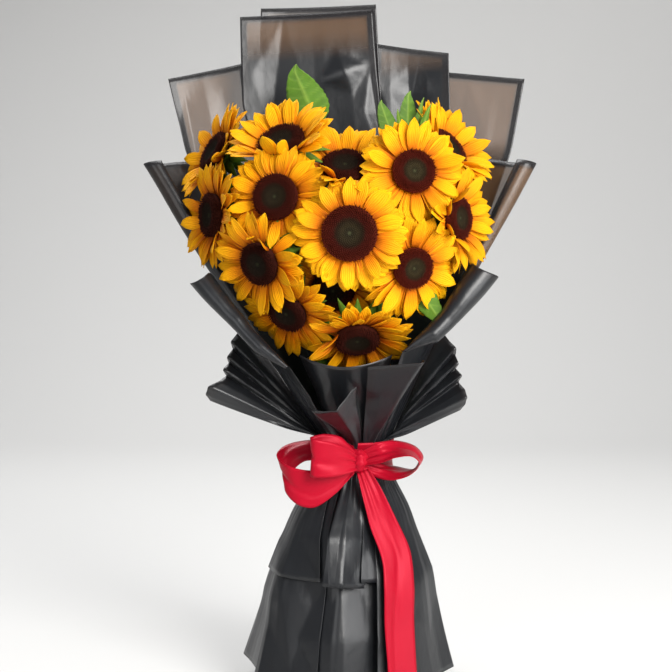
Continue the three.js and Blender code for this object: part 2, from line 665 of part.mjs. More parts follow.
blooms.forEach((_, k) => {
  const number = String(k + 1).padStart(2, '0');
  add(`petals_${number}`, 'petals', petalSets[k]);
  add(`disc_${number}`, 'disc', discs[k]);
  add(`stem_${number}`, 'stem', stems[k]);
});

// The origin is under the middle of the whole bunch, on the floor.
group.children.forEach(({ geometry }) => geometry.translate(-centre.x, -centre.y, 0));

export default group;
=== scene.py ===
import math

import bpy
import numpy as np
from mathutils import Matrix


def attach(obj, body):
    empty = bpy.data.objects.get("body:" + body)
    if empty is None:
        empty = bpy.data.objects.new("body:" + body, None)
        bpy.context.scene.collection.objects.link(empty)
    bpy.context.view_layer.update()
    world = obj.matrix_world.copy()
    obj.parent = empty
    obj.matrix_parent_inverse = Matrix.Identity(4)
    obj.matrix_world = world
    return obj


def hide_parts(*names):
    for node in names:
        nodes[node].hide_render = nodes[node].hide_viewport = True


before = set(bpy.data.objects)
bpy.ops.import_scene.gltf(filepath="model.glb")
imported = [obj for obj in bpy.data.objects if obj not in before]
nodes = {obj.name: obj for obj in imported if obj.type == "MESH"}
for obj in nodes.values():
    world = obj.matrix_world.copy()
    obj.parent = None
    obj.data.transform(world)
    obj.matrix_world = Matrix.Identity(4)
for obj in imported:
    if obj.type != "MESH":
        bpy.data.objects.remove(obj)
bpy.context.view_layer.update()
print("frame loaded:", len(nodes), "nodes")

# the whole bunch: shapes are worked out in millimetres about the stems, then moved so that
# centre is the origin; the skirt's hem is wider than it is deep by the share skirtStretch
bunch = {
    "centre": (-5.3, 0.8, 0.0),
    "tieX": 11.0, "tieZ": 238.0, "footX": 3.0,
    "skirtX": -3.0, "skirtStretch": 0.07,
}

# for each bloom: middle of the disc, turn in the front view, lean from the front, cup of the
# petals, size, ring and degrees of the stem at the tie, point that the stem passes, and how lit
# the disc is painted: low for a near-black disc, painted shade on heads in shade and partly a
# really darker disc; high for a greenish middle and painted highlights on the floret tips
blooms = [
    ((-133, 8, 552), 150, 68, 20, 0.96, (2, 180), (-69, 37, 489), 0.0),
    ((-63, -50, 560), 112, 52, 28, 1.00, (2, 225), (-26, 9, 412), 0.1),
    ((-68, -80, 506), 150, 20, 0, 1.00, (1, 306), (-42, -18, 471), 0.35),
    ((0, -58, 536), 92, 52, 28, 1.00, (1, 162), (2, 5, 410), 0.1),
    ((67, -77, 531), 40, 16, 0, 1.00, (1, 18), (16, 4, 424), 1.0),
    ((106, 4, 556), 42, 66, 36, 1.00, (2, 90), (48, 37, 454), 0.3),
    ((4, -106, 471), 90, 4, 0, 1.04, (0, 0), (3, -12, 423), 0.7),
    ((-134, -33, 488), 178, 62, 10, 0.96, (2, 270), (-79, -7, 476), 0.0),
    ((112, -50, 485), 5, 56, 22, 0.98, (2, 135), (33, 8, 436), 0.5),
    ((66, -86, 437), -25, 26, 0, 1.00, (1, 90), (31, 5, 403), 0.9),
    ((-84, -80, 441), 205, 40, 10, 0.94, (2, 0), (-21, -21, 427), 0.0),
    ((-57, -68, 392), 232, 42, 5, 0.92, (2, 315), (-33, -29, 413), 0.0),
    ((-12, -56, 414), 262, 22, 5, 0.90, (1, 234), (-13, 1, 419), 0.2),
    ((12, -70, 366), 275, 50, 15, 0.98, (2, 45), (19, -14, 397), 0.1),
]


def mix(a, b, t):
    # the share t of the way from a to b
    return a + (b - a) * t


def unit(a):
    # vectors divided by their lengths
    return a / np.maximum(np.linalg.norm(a, axis=-1, keepdims=True), 1e-9)


# meshes
def addMesh(name, points, faces, material, uv=None, values=None):
    # points in millimetres, faces as one or more arrays of point numbers with three or four to
    # a row, then texture coordinates and named values for every point
    place = (np.asarray(points, float).reshape(-1, 3) - np.array(bunch["centre"])) * 0.001
    mesh = bpy.data.meshes.new(name)
    mesh.vertices.add(len(place))
    mesh.vertices.foreach_set("co", place.ravel().astype(np.float32))
    groups = [np.asarray(f, np.int32) for f in (faces if isinstance(faces, list) else [faces])]
    corners = np.concatenate([g.ravel() for g in groups])
    counts = np.concatenate([np.full(len(g), g.shape[1], np.int32) for g in groups])
    mesh.loops.add(len(corners))
    mesh.loops.foreach_set("vertex_index", corners)
    mesh.polygons.add(len(counts))
    mesh.polygons.foreach_set("loop_start", np.concatenate([[0], np.cumsum(counts)[:-1]]).astype(np.int32))
    mesh.polygons.foreach_set("loop_total", counts)
    mesh.polygons.foreach_set("use_smooth", np.full(len(counts), True))
    if uv is not None:
        layer = mesh.uv_layers.new(name="surface")
        layer.data.foreach_set("uv", np.asarray(uv, np.float32).reshape(-1, 2)[corners].ravel())
    for key, value in (values or {}).items():
        field = mesh.attributes.new(key, "FLOAT", "POINT")
        field.data.foreach_set("value", np.asarray(value, np.float32).ravel())
    mesh.update(calc_edges=True)
    mesh.validate()
    mesh.materials.append(material)
    piece = bpy.data.objects.new(name, mesh)
    bpy.context.scene.collection.objects.link(piece)
    return piece


def shellFaces(rows, cols):
    # both faces of a thin sheet of rows by cols points, front points first, and its rim
    r, c = np.meshgrid(np.arange(rows - 1), np.arange(cols - 1), indexing="ij")
    a = (r * cols + c).ravel()
    half = rows * cols
    front = np.stack([a, a + 1, a + cols + 1, a + cols], 1)
    back = np.stack([a, a + cols, a + cols + 1, a + 1], 1) + half
    loop = np.concatenate([np.arange(cols - 1), np.arange(rows - 1) * cols + cols - 1,
                           (rows - 1) * cols + np.arange(cols - 1, 0, -1),
                           np.arange(rows - 1, 0, -1) * cols])
    after = np.roll(loop, -1)
    rim = np.stack([after, loop, loop + half, after + half], 1)
    return np.concatenate([front, back, rim])


def gridNormals(p):
    # the step from column to column, crossed with the step from row to row
    return unit(np.cross(np.gradient(p, axis=-2), np.gradient(p, axis=-3)))


def shells(p, thickness):
    # p holds sheets of rows by cols points: each becomes a front and a back half a thickness off
    p = p.reshape((-1,) + p.shape[-3:])
    n = gridNormals(p) * (thickness / 2)
    count, rows, cols = p.shape[:3]
    points = np.stack([p + n, p - n], 1).reshape(count, -1, 3)
    faces = shellFaces(rows, cols)[None] + (np.arange(count) * 2 * rows * cols)[:, None, None]
    return points.reshape(-1, 3), faces.reshape(-1, 4)


def both(values):
    # the values of sheets of rows by cols points, for the front and then the back of each
    values = values.reshape(-1, values.shape[-2] * values.shape[-1])
    return np.stack([values, values], 1).reshape(-1)


def sheetUv(across, along, shape):
    # two directions over sheets of that shape as texture coordinates, for both faces of each
    return np.stack([both(np.broadcast_to(way, shape)) for way in (across, along)], -1)


def runOf(grid, axis):
    # how far every point lies along its row or column: the sum of the steps from the first one
    step = np.diff(grid, axis=axis, prepend=np.take(grid, [0], axis))
    return np.cumsum(np.linalg.norm(step, axis=2), axis)


def flatArea(grid):
    # the area of a sheet in square metres: the sum of its cells
    cell = np.cross(np.diff(grid, axis=0)[:, :-1], np.diff(grid, axis=1)[:-1])
    return np.linalg.norm(cell, axis=2).sum() * 1e-6


def ringFaces(sides, count):
    # quads between rings of points that follow one another, and a fan at each end: the middle
    # points of the first and the last ring come after all the rings
    k = np.arange(sides)
    after = (k + 1) % sides
    i = np.arange(count - 1)[:, None] * sides
    a, b = (i + k).ravel(), (i + after).ravel()
    last, total = (count - 1) * sides, count * sides
    fans = np.concatenate([np.stack([after, k, np.full(sides, total)], 1),
                           np.stack([last + k, last + after, np.full(sides, total + 1)], 1)])
    return [np.stack([a, b, b + sides, a + sides], 1), fans]


def tubeOf(line, radii, sides):
    # rings of points carried along a line without twisting, the first one level, closed at both
    # ends, with texture coordinates round it and along it
    along = np.gradient(line, axis=0)
    along[0] = (0, 0, 1)
    turn = np.linspace(0, 2 * math.pi, sides, endpoint=False)
    rings, side = [], np.array([1.0, 0.0, 0.0])
    for p, t, r in zip(line, unit(along), radii):
        side = unit(side - t * side.dot(t))
        up = np.cross(t, side)
        rings.append(p + r * (np.outer(np.cos(turn), side) + np.outer(np.sin(turn), up)))
    count = len(line)
    uv = np.stack([np.tile(np.arange(sides) / sides, count), np.repeat(np.arange(count) / count, sides)], 1)
    points = np.concatenate(rings + [line[:1], line[-1:]])
    return points, ringFaces(sides, count), np.concatenate([uv, [[0.5, 0], [0.5, 1]]])


def joined(parts):
    # several (points, [faces, ...], values with a row for every point) as one mesh
    points, faces, values, start = [], [], [], 0
    for place, groups, rows in parts:
        points.append(place)
        values.append(rows)
        faces += [group + start for group in groups]
        start += len(place)
    kinds = [[f for f in faces if f.shape[1] == size] for size in (4, 3)]
    return np.concatenate(points), [np.concatenate(kind) for kind in kinds if kind], np.concatenate(values)


def curveThrough(points, samples):
    # a centripetal Catmull-Rom curve, sampled evenly in its parameter: between two points it is
    # a cubic whose slopes weigh the steps next to it by the roots of their lengths
    p = np.asarray(points, float)
    p = np.concatenate([[2 * p[0] - p[1]], p, [2 * p[-1] - p[-2]]])
    out = []
    for t in np.asarray(samples) * (len(p) - 3):
        i = min(int(t), len(p) - 4)
        t -= i
        q = p[i:i + 4]
        d = np.maximum(np.linalg.norm(np.diff(q, axis=0), axis=1) ** 0.5, 1e-4)
        m1 = ((q[1] - q[0]) / d[0] - (q[2] - q[0]) / (d[0] + d[1]) + (q[2] - q[1]) / d[1]) * d[1]
        m2 = ((q[2] - q[1]) / d[1] - (q[3] - q[1]) / (d[1] + d[2]) + (q[3] - q[2]) / d[2]) * d[1]
        out.append(q[1] * (2 * t**3 - 3 * t**2 + 1) + m1 * (t**3 - 2 * t**2 + t)
                   + q[2] * (-2 * t**3 + 3 * t**2) + m2 * (t**3 - t**2))
    return np.array(out)


# materials
def newMaterial(name):
    # a material with its tree of nodes and its shader
    material = bpy.data.materials.new(name)
    material.use_nodes = True
    tree = material.node_tree
    return material, tree, tree.nodes["Principled BSDF"]


def setInputs(tree, made, inputs):
    # every input is joined to a socket or holds a value
    for key, value in inputs.items():
        if isinstance(value, bpy.types.NodeSocket):
            tree.links.new(value, made.inputs[key])
        else:
            made.inputs[key].default_value = value


def node(tree, kind, inputs=None, **settings):
    # a new node with its settings, and its inputs by name or number
    made = tree.nodes.new(kind)
    for key, value in settings.items():
        setattr(made, key, value)
    setInputs(tree, made, inputs or {})
    return made


def ramp(tree, factor, stops):
    # colours at places from 0 to 1
    made = node(tree, "ShaderNodeValToRGB", {"Fac": factor})
    elements = made.color_ramp.elements
    while len(elements) < len(stops):
        elements.new(0.5)
    for element, (place, colour) in zip(elements, stops):
        element.position = place
        element.color = (*colour, 1)
    return made.outputs["Color"]


def mathNode(tree, operation, a, b=0.0, c=0.0):
    # one step of arithmetic on up to three sockets or numbers
    return node(tree, "ShaderNodeMath", {0: a, 1: b, 2: c}, operation=operation).outputs[0]


def blendColour(tree, factor, a, b):
    # inputs 6 and 7 and output 2 of the node are its colours
    a, b = (value if isinstance(value, bpy.types.NodeSocket) else (*value, 1) for value in (a, b))
    return node(tree, "ShaderNodeMix", {0: factor, 6: a, 7: b}, data_type="RGBA").outputs[2]


def attribute(tree, name):
    # a value that addMesh put on every point
    return node(tree, "ShaderNodeAttribute", attribute_name=name).outputs["Fac"]


def surfaceWays(tree):
    # the two directions of the piece's own texture coordinates
    uv = node(tree, "ShaderNodeUVMap", uv_map="surface").outputs[0]
    return node(tree, "ShaderNodeSeparateXYZ", {"Vector": uv}).outputs[:2]


def makeGrainGroup():
    # uneven tone: a noise on Object coordinates as a value from 1 - amount to 1 + amount, and a height
    tree = bpy.data.node_groups.new("unevenTone", "ShaderNodeTree")
    for name, value in (("Scale", 60.0), ("Amount", 0.15), ("Stretch", 1.0)):
        socket = tree.interface.new_socket(name, in_out="INPUT", socket_type="NodeSocketFloat")
        socket.default_value = value
    for name in ("Tone", "Height"):
        tree.interface.new_socket(name, in_out="OUTPUT", socket_type="NodeSocketFloat")
    start, end = tree.nodes.new("NodeGroupInput"), tree.nodes.new("NodeGroupOutput")
    scale, amount, stretch = (start.outputs[key] for key in ("Scale", "Amount", "Stretch"))
    place = node(tree, "ShaderNodeTexCoord").outputs["Object"]
    upright = mathNode(tree, "MULTIPLY", scale, stretch)
    scales = node(tree, "ShaderNodeCombineXYZ", {"X": scale, "Y": scale, "Z": upright}).outputs[0]
    stretched = node(tree, "ShaderNodeVectorMath", {0: place, 1: scales}, operation="MULTIPLY").outputs[0]
    noise = node(tree, "ShaderNodeTexNoise", {"Vector": stretched, "Scale": 1.0, "Detail": 4.0})
    noise = noise.outputs["Fac"]
    signed = mathNode(tree, "MULTIPLY_ADD", noise, 2.0, -1.0)
    setInputs(tree, end, {"Tone": mathNode(tree, "MULTIPLY_ADD", signed, amount, 1.0), "Height": noise})
    return tree


unevenTone = makeGrainGroup()


def grain(tree, scale, amount, stretch=1.0):
    # the uneven tone in a material, with that material's own values
    values = {"Scale": scale, "Amount": amount, "Stretch": stretch}
    return node(tree, "ShaderNodeGroup", values, node_tree=unevenTone)


def scaled(tree, colour, factor):
    # a colour times a tone
    return node(tree, "ShaderNodeVectorMath", {0: colour, "Scale": factor}, operation="SCALE").outputs[0]


def bump(tree, height, strength, distance):
    # fine relief as a normal
    values = {"Height": height, "Strength": strength, "Distance": distance}
    return node(tree, "ShaderNodeBump", values).outputs[0]


def makePetalMaterial():
    # orange at the root and clear yellow outwards, in fine long grooves whose hollows are painted darker as
    # painted shade; the back is duller; heads that lie in shade are painted more orange and darker as painted
    # shade
    material, tree, shader = newMaterial("sunflowerPetal")
    across, along = surfaceWays(tree)
    tintAndShade = attribute(tree, "tintAndShade")
    # the tint moves the colour towards orange: a random tone for each petal, and painted shade on heads in
    # shade
    place = mathNode(tree, "ADD", along, mathNode(tree, "MULTIPLY_ADD", tintAndShade, 0.3, -0.15))
    colour = ramp(tree, place, [(0.0, (0.46, 0.09, 0.001)), (0.22, (0.76, 0.21, 0.001)),
                                (0.55, (0.90, 0.375, 0.002)), (1.0, (0.93, 0.455, 0.003))])
    groove = mathNode(tree, "SINE", mathNode(tree, "MULTIPLY", across, 44.0))
    groove = mathNode(tree, "MULTIPLY_ADD", groove, 0.5, 0.5)
    # the hollows of the grooves are painted darker: painted shade
    tone = mathNode(tree, "MULTIPLY_ADD", groove, 0.17, 0.88)
    # a low tint also darkens the petal: random tone, and painted shade on heads in shade
    for other in (mathNode(tree, "MULTIPLY_ADD", tintAndShade, 0.14, 0.93),
                  grain(tree, 90.0, 0.12).outputs["Tone"],
                  mathNode(tree, "MULTIPLY_ADD", attribute(tree, "under"), -0.18, 1.0)):
        tone = mathNode(tree, "MULTIPLY", tone, other)
    setInputs(tree, shader, {
        "Base Color": scaled(tree, colour, tone), "Normal": bump(tree, groove, 0.7, 0.0006),
        "Roughness": 0.62, "Specular IOR Level": 0.12})
    return material


def makeDiscMaterial():
    # from the middle outwards: grey-green dot, brown or greenish brown, then a red-brown ring; tips
    # lighter as painted highlight
    material, tree, shader = newMaterial("sunflowerDisc")
    ring, tip, oliveAndLit = (attribute(tree, key) for key in ("ring", "tip", "oliveAndLit"))
    # a near-black copy of the colours: painted shade for heads in shade, and partly really darker discs
    dark = ramp(tree, ring, [(0.0, (0.035, 0.036, 0.018)), (0.13, (0.010, 0.007, 0.005)),
                             (0.5, (0.010, 0.005, 0.003)), (0.72, (0.024, 0.005, 0.003)),
                             (1.0, (0.030, 0.006, 0.003))])
    # the lit copy of the colours, with a greenish middle
    light = ramp(tree, ring, [(0.0, (0.10, 0.105, 0.05)), (0.09, (0.014, 0.012, 0.007)),
                              (0.28, (0.032, 0.023, 0.011)), (0.46, (0.012, 0.005, 0.003)),
                              (0.66, (0.062, 0.007, 0.004)), (1.0, (0.095, 0.011, 0.004))])
    # the floret tips painted lighter: painted highlight, stronger on the lit heads
    outer = mathNode(tree, "GREATER_THAN", ring, 0.55)
    bright = blendColour(tree, outer, (0.105, 0.085, 0.032), (0.22, 0.030, 0.014))
    most = mathNode(tree, "MULTIPLY_ADD", oliveAndLit, 0.34, 0.10)
    lit = mathNode(tree, "MULTIPLY", mathNode(tree, "POWER", tip, 2.0), most)
    colour = blendColour(tree, lit, blendColour(tree, oliveAndLit, dark, light), bright)
    setInputs(tree, shader, {
        "Base Color": scaled(tree, colour, grain(tree, 300.0, 0.35).outputs["Tone"]),
        "Roughness": 0.85, "Specular IOR Level": 0.08})
    return material


def makeGreenMaterial():
    # leaf and stem green with paler ribs and a fine uneven surface
    material, tree, shader = newMaterial("sunflowerGreen")
    rib = attribute(tree, "rib")
    colour = blendColour(tree, rib, (0.075, 0.165, 0.010), (0.16, 0.26, 0.03))
    uneven = grain(tree, 120.0, 0.3)
    height = mathNode(tree, "ADD", uneven.outputs["Height"], rib)
    setInputs(tree, shader, {
        "Base Color": scaled(tree, colour, uneven.outputs["Tone"]), "Normal": bump(tree, height, 0.5, 0.0006),
        "Roughness": 0.6, "Specular IOR Level": 0.18})
    return material


def makeFilmMaterial():
    # dark see-through film: a folded border nearly solid, soft crumples, satin shine; clear is
    # how solid each of the film's two faces is
    material, tree, shader = newMaterial("wrapFilm")
    border, thin = attribute(tree, "border"), attribute(tree, "thin")
    colour = blendColour(tree, thin, (0.009, 0.010, 0.012), (0.128, 0.067, 0.030))
    clear = mathNode(tree, "MULTIPLY_ADD", thin, -0.41, 0.94)
    soft = grain(tree, 14.0, 0.5).outputs["Height"]
    fine = grain(tree, 70.0, 0.5, 0.35).outputs["Height"]
    height = mathNode(tree, "ADD", soft, mathNode(tree, "MULTIPLY", fine, 0.12))
    setInputs(tree, shader, {
        "Base Color": blendColour(tree, border, colour, (0.010, 0.009, 0.010)),
        "Alpha": mathNode(tree, "MAXIMUM", clear, mathNode(tree, "MULTIPLY", border, 0.80)),
        "Roughness": mathNode(tree, "MULTIPLY_ADD", soft, 0.14, 0.27), "Specular IOR Level": 0.5,
        "Normal": bump(tree, height, 0.35, 0.006)})
    return material


def makeRibbonMaterial():
    # satin: a deep red with a close weave along and across the ribbon and a sheen
    material, tree, shader = newMaterial("satinRibbon")
    across, along = surfaceWays(tree)
    warp = mathNode(tree, "SINE", mathNode(tree, "MULTIPLY", across, 420.0))
    weft = mathNode(tree, "SINE", mathNode(tree, "MULTIPLY", along, 260.0))
    weave = mathNode(tree, "MULTIPLY_ADD", mathNode(tree, "MULTIPLY", warp, weft), 0.5, 0.5)
    tone = mathNode(tree, "MULTIPLY", mathNode(tree, "MULTIPLY_ADD", weave, 0.08, 0.96),
                    grain(tree, 40.0, 0.08).outputs["Tone"])
    setInputs(tree, shader, {
        "Base Color": scaled(tree, (0.37, 0.003, 0.016), tone), "Normal": bump(tree, weave, 0.25, 0.0002),
        "Roughness": 0.34, "Anisotropic": 0.5,
        "Sheen Weight": 0.05, "Sheen Roughness": 0.35, "Sheen Tint": (1.0, 0.2, 0.3, 1),
        "Specular IOR Level": 0.6, "Specular Tint": (1.0, 0.16, 0.22, 1)})
    return material


def makeTwineMaterial():
    # twisted fibres: slanted waves round each turn
    material, tree, shader = newMaterial("twine")
    place = node(tree, "ShaderNodeTexCoord").outputs["Object"]
    wave = node(tree, "ShaderNodeTexWave", {"Vector": place, "Scale": 130.0, "Distortion": 3.0},
                bands_direction="DIAGONAL").outputs["Fac"]
    setInputs(tree, shader, {
        "Base Color": ramp(tree, wave, [(0.0, (0.22, 0.14, 0.07)), (1.0, (0.55, 0.42, 0.26))]),
        "Normal": bump(tree, wave, 0.8, 0.0006), "Roughness": 0.85})
    return material


petalMaterial = makePetalMaterial()
discMaterial = makeDiscMaterial()
greenMaterial = makeGreenMaterial()
filmMaterial = makeFilmMaterial()
ribbonMaterial = makeRibbonMaterial()
twineMaterial = makeTwineMaterial()
print("materials made")


# blooms
def bloomFrame(turn, lean):
    # the way the bloom faces, its right and its up
    t, l = math.radians(turn), math.radians(lean)
    face = np.array([math.sin(l) * math.cos(t), -math.cos(l), math.sin(l) * math.sin(t)])
    right = unit(np.array([-face[1], face[0], 0.0]))
    return face, right, np.cross(face, right)


def onBloom(bloom, radius, angle, height):
    # a point of a bloom: so far from its axis at an angle round it, and so high above its disc
    face, right, up = bloomFrame(bloom[1], bloom[2])
    radius, angle, height = (np.asarray(a, float)[..., None] for a in (radius, angle, height))
    flat = np.array(bloom[0], float) + right * radius * np.cos(angle) + up * radius * np.sin(angle)
    return flat + face * height


def chance(seed, count):
    # numbers from 0 to 1: the fraction of a large multiple of a sine
    x = np.sin((seed + 1 + np.arange(count)) * 12.9898) * 43758.5453
    return x - np.floor(x)


petal = {
    "count": 20, "length": 33.4, "width": 13.4, "curl": 18.0, "droop": 17.0,
    # a frame's petal: its root's radius and height, and the shares of its length at each slope
    "rootPoint": (24.0, -3.7), "steps": (0.36, 0.30, 0.34),
    # share of the length on a bloom without a cup, and for each lower layer: share of the step to
    # the next petal, degrees below its neighbours, share of their length
    "flatShare": 0.88, "layers": [(1, 7, 0.98), (0.5, 12, 1.01)],
    # how far inside the disc's edge a petal starts, most degrees it is turned, sign for no petal
    "tuck": 2.5, "mostTurn": 32, "noPetal": 99,
    "thickness": 0.4, "rows": 8, "cols": 5,
    # cupped by a share of the width, a groove, a waved edge and a sideways sway in millimetres
    "cupped": 0.16, "groove": 0.45, "waved": 0.5, "sway": 7,
    # spreads by chance: angle in radians, share of the length and width, degrees of droop and roll
    "spread": (0.055, 0.04, 0.06, 11, 12),
    # how much more orange and darker the petals of each bloom are painted: painted shade on the heads that
    # lie in shade
    "paintedShade": (0.2, 0, 0.1, 0.1, 0, 0, 0, 0.5, 0.1, 0, 0.5, 0.4, 0.3, 0.4),
    # degrees of the lower and the upper petals above the cup of their bloom, and by chance
    "tilt": (1, 17), "tiltChance": 8,
    # degrees by which the petals that point down are lifted forwards
    "forward": (0, 0, 0, 0, 0, 0, 0, 0, 0, 0, 0, 0, 34, 0),
    # shares of the length with shares of the width there
    "profile": ([0, 0.12, 0.36, 0.6, 0.8, 0.92, 1], [0.45, 0.62, 0.90, 1.0, 0.78, 0.42, 0.03]),
}

disc = {
    "radii": (23, 24, 23, 23.5, 21.5, 22, 26, 23, 22, 20.5, 23, 22, 24, 22.5),
    "around": 48,
    # shares of the radius with heights: the underside, and the low dome with its dimple
    "underside": [(0, -5.2), (0.88, -5.2), (0.97, -2.4)],
    "dome": [(1, 1), (0.95, 3.2), (0.86, 4.4), (0.7, 5.2), (0.55, 5.3), (0.35, 4.6), (0.15, 3.5), (0, 3.1)],
    "florets": 680, "floretSides": 5, "reach": 0.985, "goldenAngle": 137.508,
    # height and width of a floret in the middle and outside, and how far the outer ones lean
    # in or out and those at the rim lean out
    "tall": (0.9, 2.7), "wide": (0.66, 0.60), "lean": (1.1, 2.4),
    # up a floret: share of its width, share of its height, painted highlight towards its tip
    "cone": [(1.0, -0.5, 0), (1.05, 0.45, 0.3), (0.55, 0.85, 0.7)],
}


def petalAngles():
    # the frame's petals stand evenly round the disc
    return 2 * math.pi * np.arange(petal["count"]) / petal["count"]


def ownSlope(k, draw):
    # the slope a petal would have with nothing in its way: its bloom's cup, more for every
    # second petal, and a little chance
    low, high = petal["tilt"]
    front = np.arange(petal["count"]) % 2
    return blooms[k][3] + np.where(front, high, low) + petal["tiltChance"] * (draw[:, 0] - 0.5)


def petalDraw(k):
    # three numbers of chance for each of the frame's petals
    return chance(100 * k, 3 * petal["count"]).reshape(-1, 3)


def turnsFromFrame(k):
    # how much further each petal of the frame's own ring is bent to clear its neighbours, in
    # degrees: the tip is the point on the petal's line that lies farthest from its root, and the
    # line to it runs below the petal's first slope by a fixed angle
    bloom = blooms[k]
    mesh = nodes[f"petals_{k + 1:02d}"].data
    place = np.empty(3 * len(mesh.vertices))
    mesh.vertices.foreach_get("co", place)
    away = place.reshape(-1, 3) * 1000 + np.array(bunch["centre"]) - np.array(bloom[0], float)
    face, right, up = bloomFrame(bloom[1], bloom[2])
    x, y, h = (away @ axis / bloom[4] for axis in (right, up, face))
    r = np.hypot(x, y)
    rootR, rootH = petal["rootPoint"]
    off = (np.arctan2(y, x)[None] - petalAngles()[:, None] + math.pi) % (2 * math.pi) - math.pi
    reach = np.where(np.abs(off) < 0.02, np.hypot(r - rootR, h - rootH)[None], 0)
    tip = reach.argmax(1)
    steps = np.array(petal["steps"]) * np.exp(-1j * np.radians(petal["curl"] * np.array([0, 0.5, 1])))
    slope = np.degrees(np.arctan2(h[tip] - rootH, r[tip] - rootR) - np.angle(steps.sum()))
    there = reach.max(1) > 0.5 * petal["length"]
    return np.where(there, np.round(slope - ownSlope(k, petalDraw(k))), petal["noPetal"])


def petalSet(k):
    # the angle, slope, length and width of every petal as rows, then droops, rolls and tints, each
    # tint a random tone less the painted shade of its bloom: the frame's own petals, and one or two
    # lower ones between neighbours that are little turned
    count = petal["count"]
    draw = petalDraw(k)
    front = np.arange(count) % 2
    turn = turnsFromFrame(k)
    shown = turn < petal["noPetal"]
    turn = np.minimum(turn, petal["mostTurn"])
    angle = petalAngles()
    slope = ownSlope(k, draw) + np.where(shown, turn, 0)
    slope = slope + petal["forward"][k] * np.clip(0.7 - np.sin(angle), 0, 1)
    length = petal["length"] * (1 if blooms[k][3] else petal["flatShare"]) * (0.93 + 0.12 * draw[:, 1])
    length = length + np.where(front, -1, 1)
    width = petal["width"] * (0.92 + 0.16 * draw[:, 2])
    after = np.roll(np.arange(count), -1)
    calm = shown & (np.abs(turn) < petal["mostTurn"] - 1)
    calm = calm & calm[after]
    between = (slope + slope[after]) / 2
    step = math.pi / count
    rows = [np.stack([angle, slope, length, width], 1)[shown]]
    for (share, lower, longer), where in zip(petal["layers"], (calm, calm & (front > 0))):
        rows.append(np.stack([angle + share * step, between - lower, length * longer, width], 1)[where])
    rows = np.concatenate(rows)
    n = len(rows)
    rng = np.random.default_rng(500 + k)
    angleSpread, lengthSpread, widthSpread, droopSpread, rollSpread = petal["spread"]
    rows[:, 0] += rng.normal(0, angleSpread, n)
    rows[:, 2] *= 1 + rng.normal(0, lengthSpread, n)
    rows[:, 3] *= 1 + rng.normal(0, widthSpread, n)
    droop = petal["droop"] + rng.normal(0, droopSpread, n)
    # each petal's tint: a random tone, less its bloom's painted shade
    return rows, droop, rng.normal(0, rollSpread, n), rng.random(n) - petal["paintedShade"][k]


def petalRing(k):
    # each petal runs outwards on a bending line, is widest two thirds along, is cupped and
    # grooved across, waved at its edges, and rolls and sways a little about its line
    bloom = blooms[k]
    size = bloom[4]
    rows, droop, roll, tintAndShade = petalSet(k)
    n = len(rows)
    s, t = np.linspace(0, 1, petal["rows"]), np.linspace(-1, 1, petal["cols"])
    along, across = s[None, :, None], t[None, None]
    slope = np.radians(rows[:, 1:2] - droop[:, None] * s[None])
    rootR, rootH = petal["rootPoint"]
    start = disc["radii"][k] - petal["tuck"]
    step = (rows[:, 2:3] + rootR - start) * np.diff(s, prepend=0)[None]
    r = (start + np.cumsum(np.cos(slope) * step, 1))[:, :, None]
    h = (rootH + np.cumsum(np.sin(slope) * step, 1))[:, :, None]
    half = (rows[:, 3:4] / 2 * np.interp(s, *petal["profile"])[None])[:, :, None]
    wave = chance(77 + k, n)[:, None, None] * 6.28
    sway = (chance(55 + k, n) - 0.5)[:, None, None] * petal["sway"]
    cupped = petal["cupped"] * half * across**2
    cupped = cupped + petal["groove"] * np.cos(2 * math.pi * across) * np.sin(math.pi * along)
    cupped = cupped + petal["waved"] * np.sin(5.0 * along + wave) * across * along
    x = half * across + sway * along**2
    lift = cupped + x * np.tan(np.radians(roll))[:, None, None] * np.minimum(1, 3 * along)
    slope = slope[:, :, None]
    r, h = r - lift * np.sin(slope), h + lift * np.cos(slope)
    turn = rows[:, :1, None] + np.arctan2(x, r)
    points = onBloom(bloom, np.hypot(r, x) * size, turn, h * size)
    place, faces = shells(points[:, :, ::-1], petal["thickness"])  # the front faces as the bloom does
    uv = sheetUv(np.linspace(0, 1, petal["cols"]), along, x.shape)
    cells = petal["rows"] * petal["cols"]
    values = {"tintAndShade": np.repeat(tintAndShade, 2 * cells), "under": np.tile(np.repeat([0, 1], cells), n)}
    return addMesh(f"petalRing_{k + 1:02d}", place, faces, petalMaterial, uv, values)


def cushionOf(k):
    # a turned cushion: rings of points up its profile, each with its share of the radius
    bloom = blooms[k]
    profile = disc["underside"] + disc["dome"]
    around = disc["around"]
    turn = np.linspace(0, 2 * math.pi, around, endpoint=False)
    radius = disc["radii"][k] * bloom[4]
    rings = [onBloom(bloom, radius * share, turn, np.full(around, h)) for share, h in profile[1:-1]]
    ends = [onBloom(bloom, 0.0, 0.0, h)[None] for _, h in (profile[0], profile[-1])]
    values = np.zeros((around * len(rings) + 2, 2))
    values[:-2, 0] = np.repeat([share for share, _ in profile[1:-1]], around)
    return np.concatenate(rings + ends), ringFaces(around, len(rings)), values


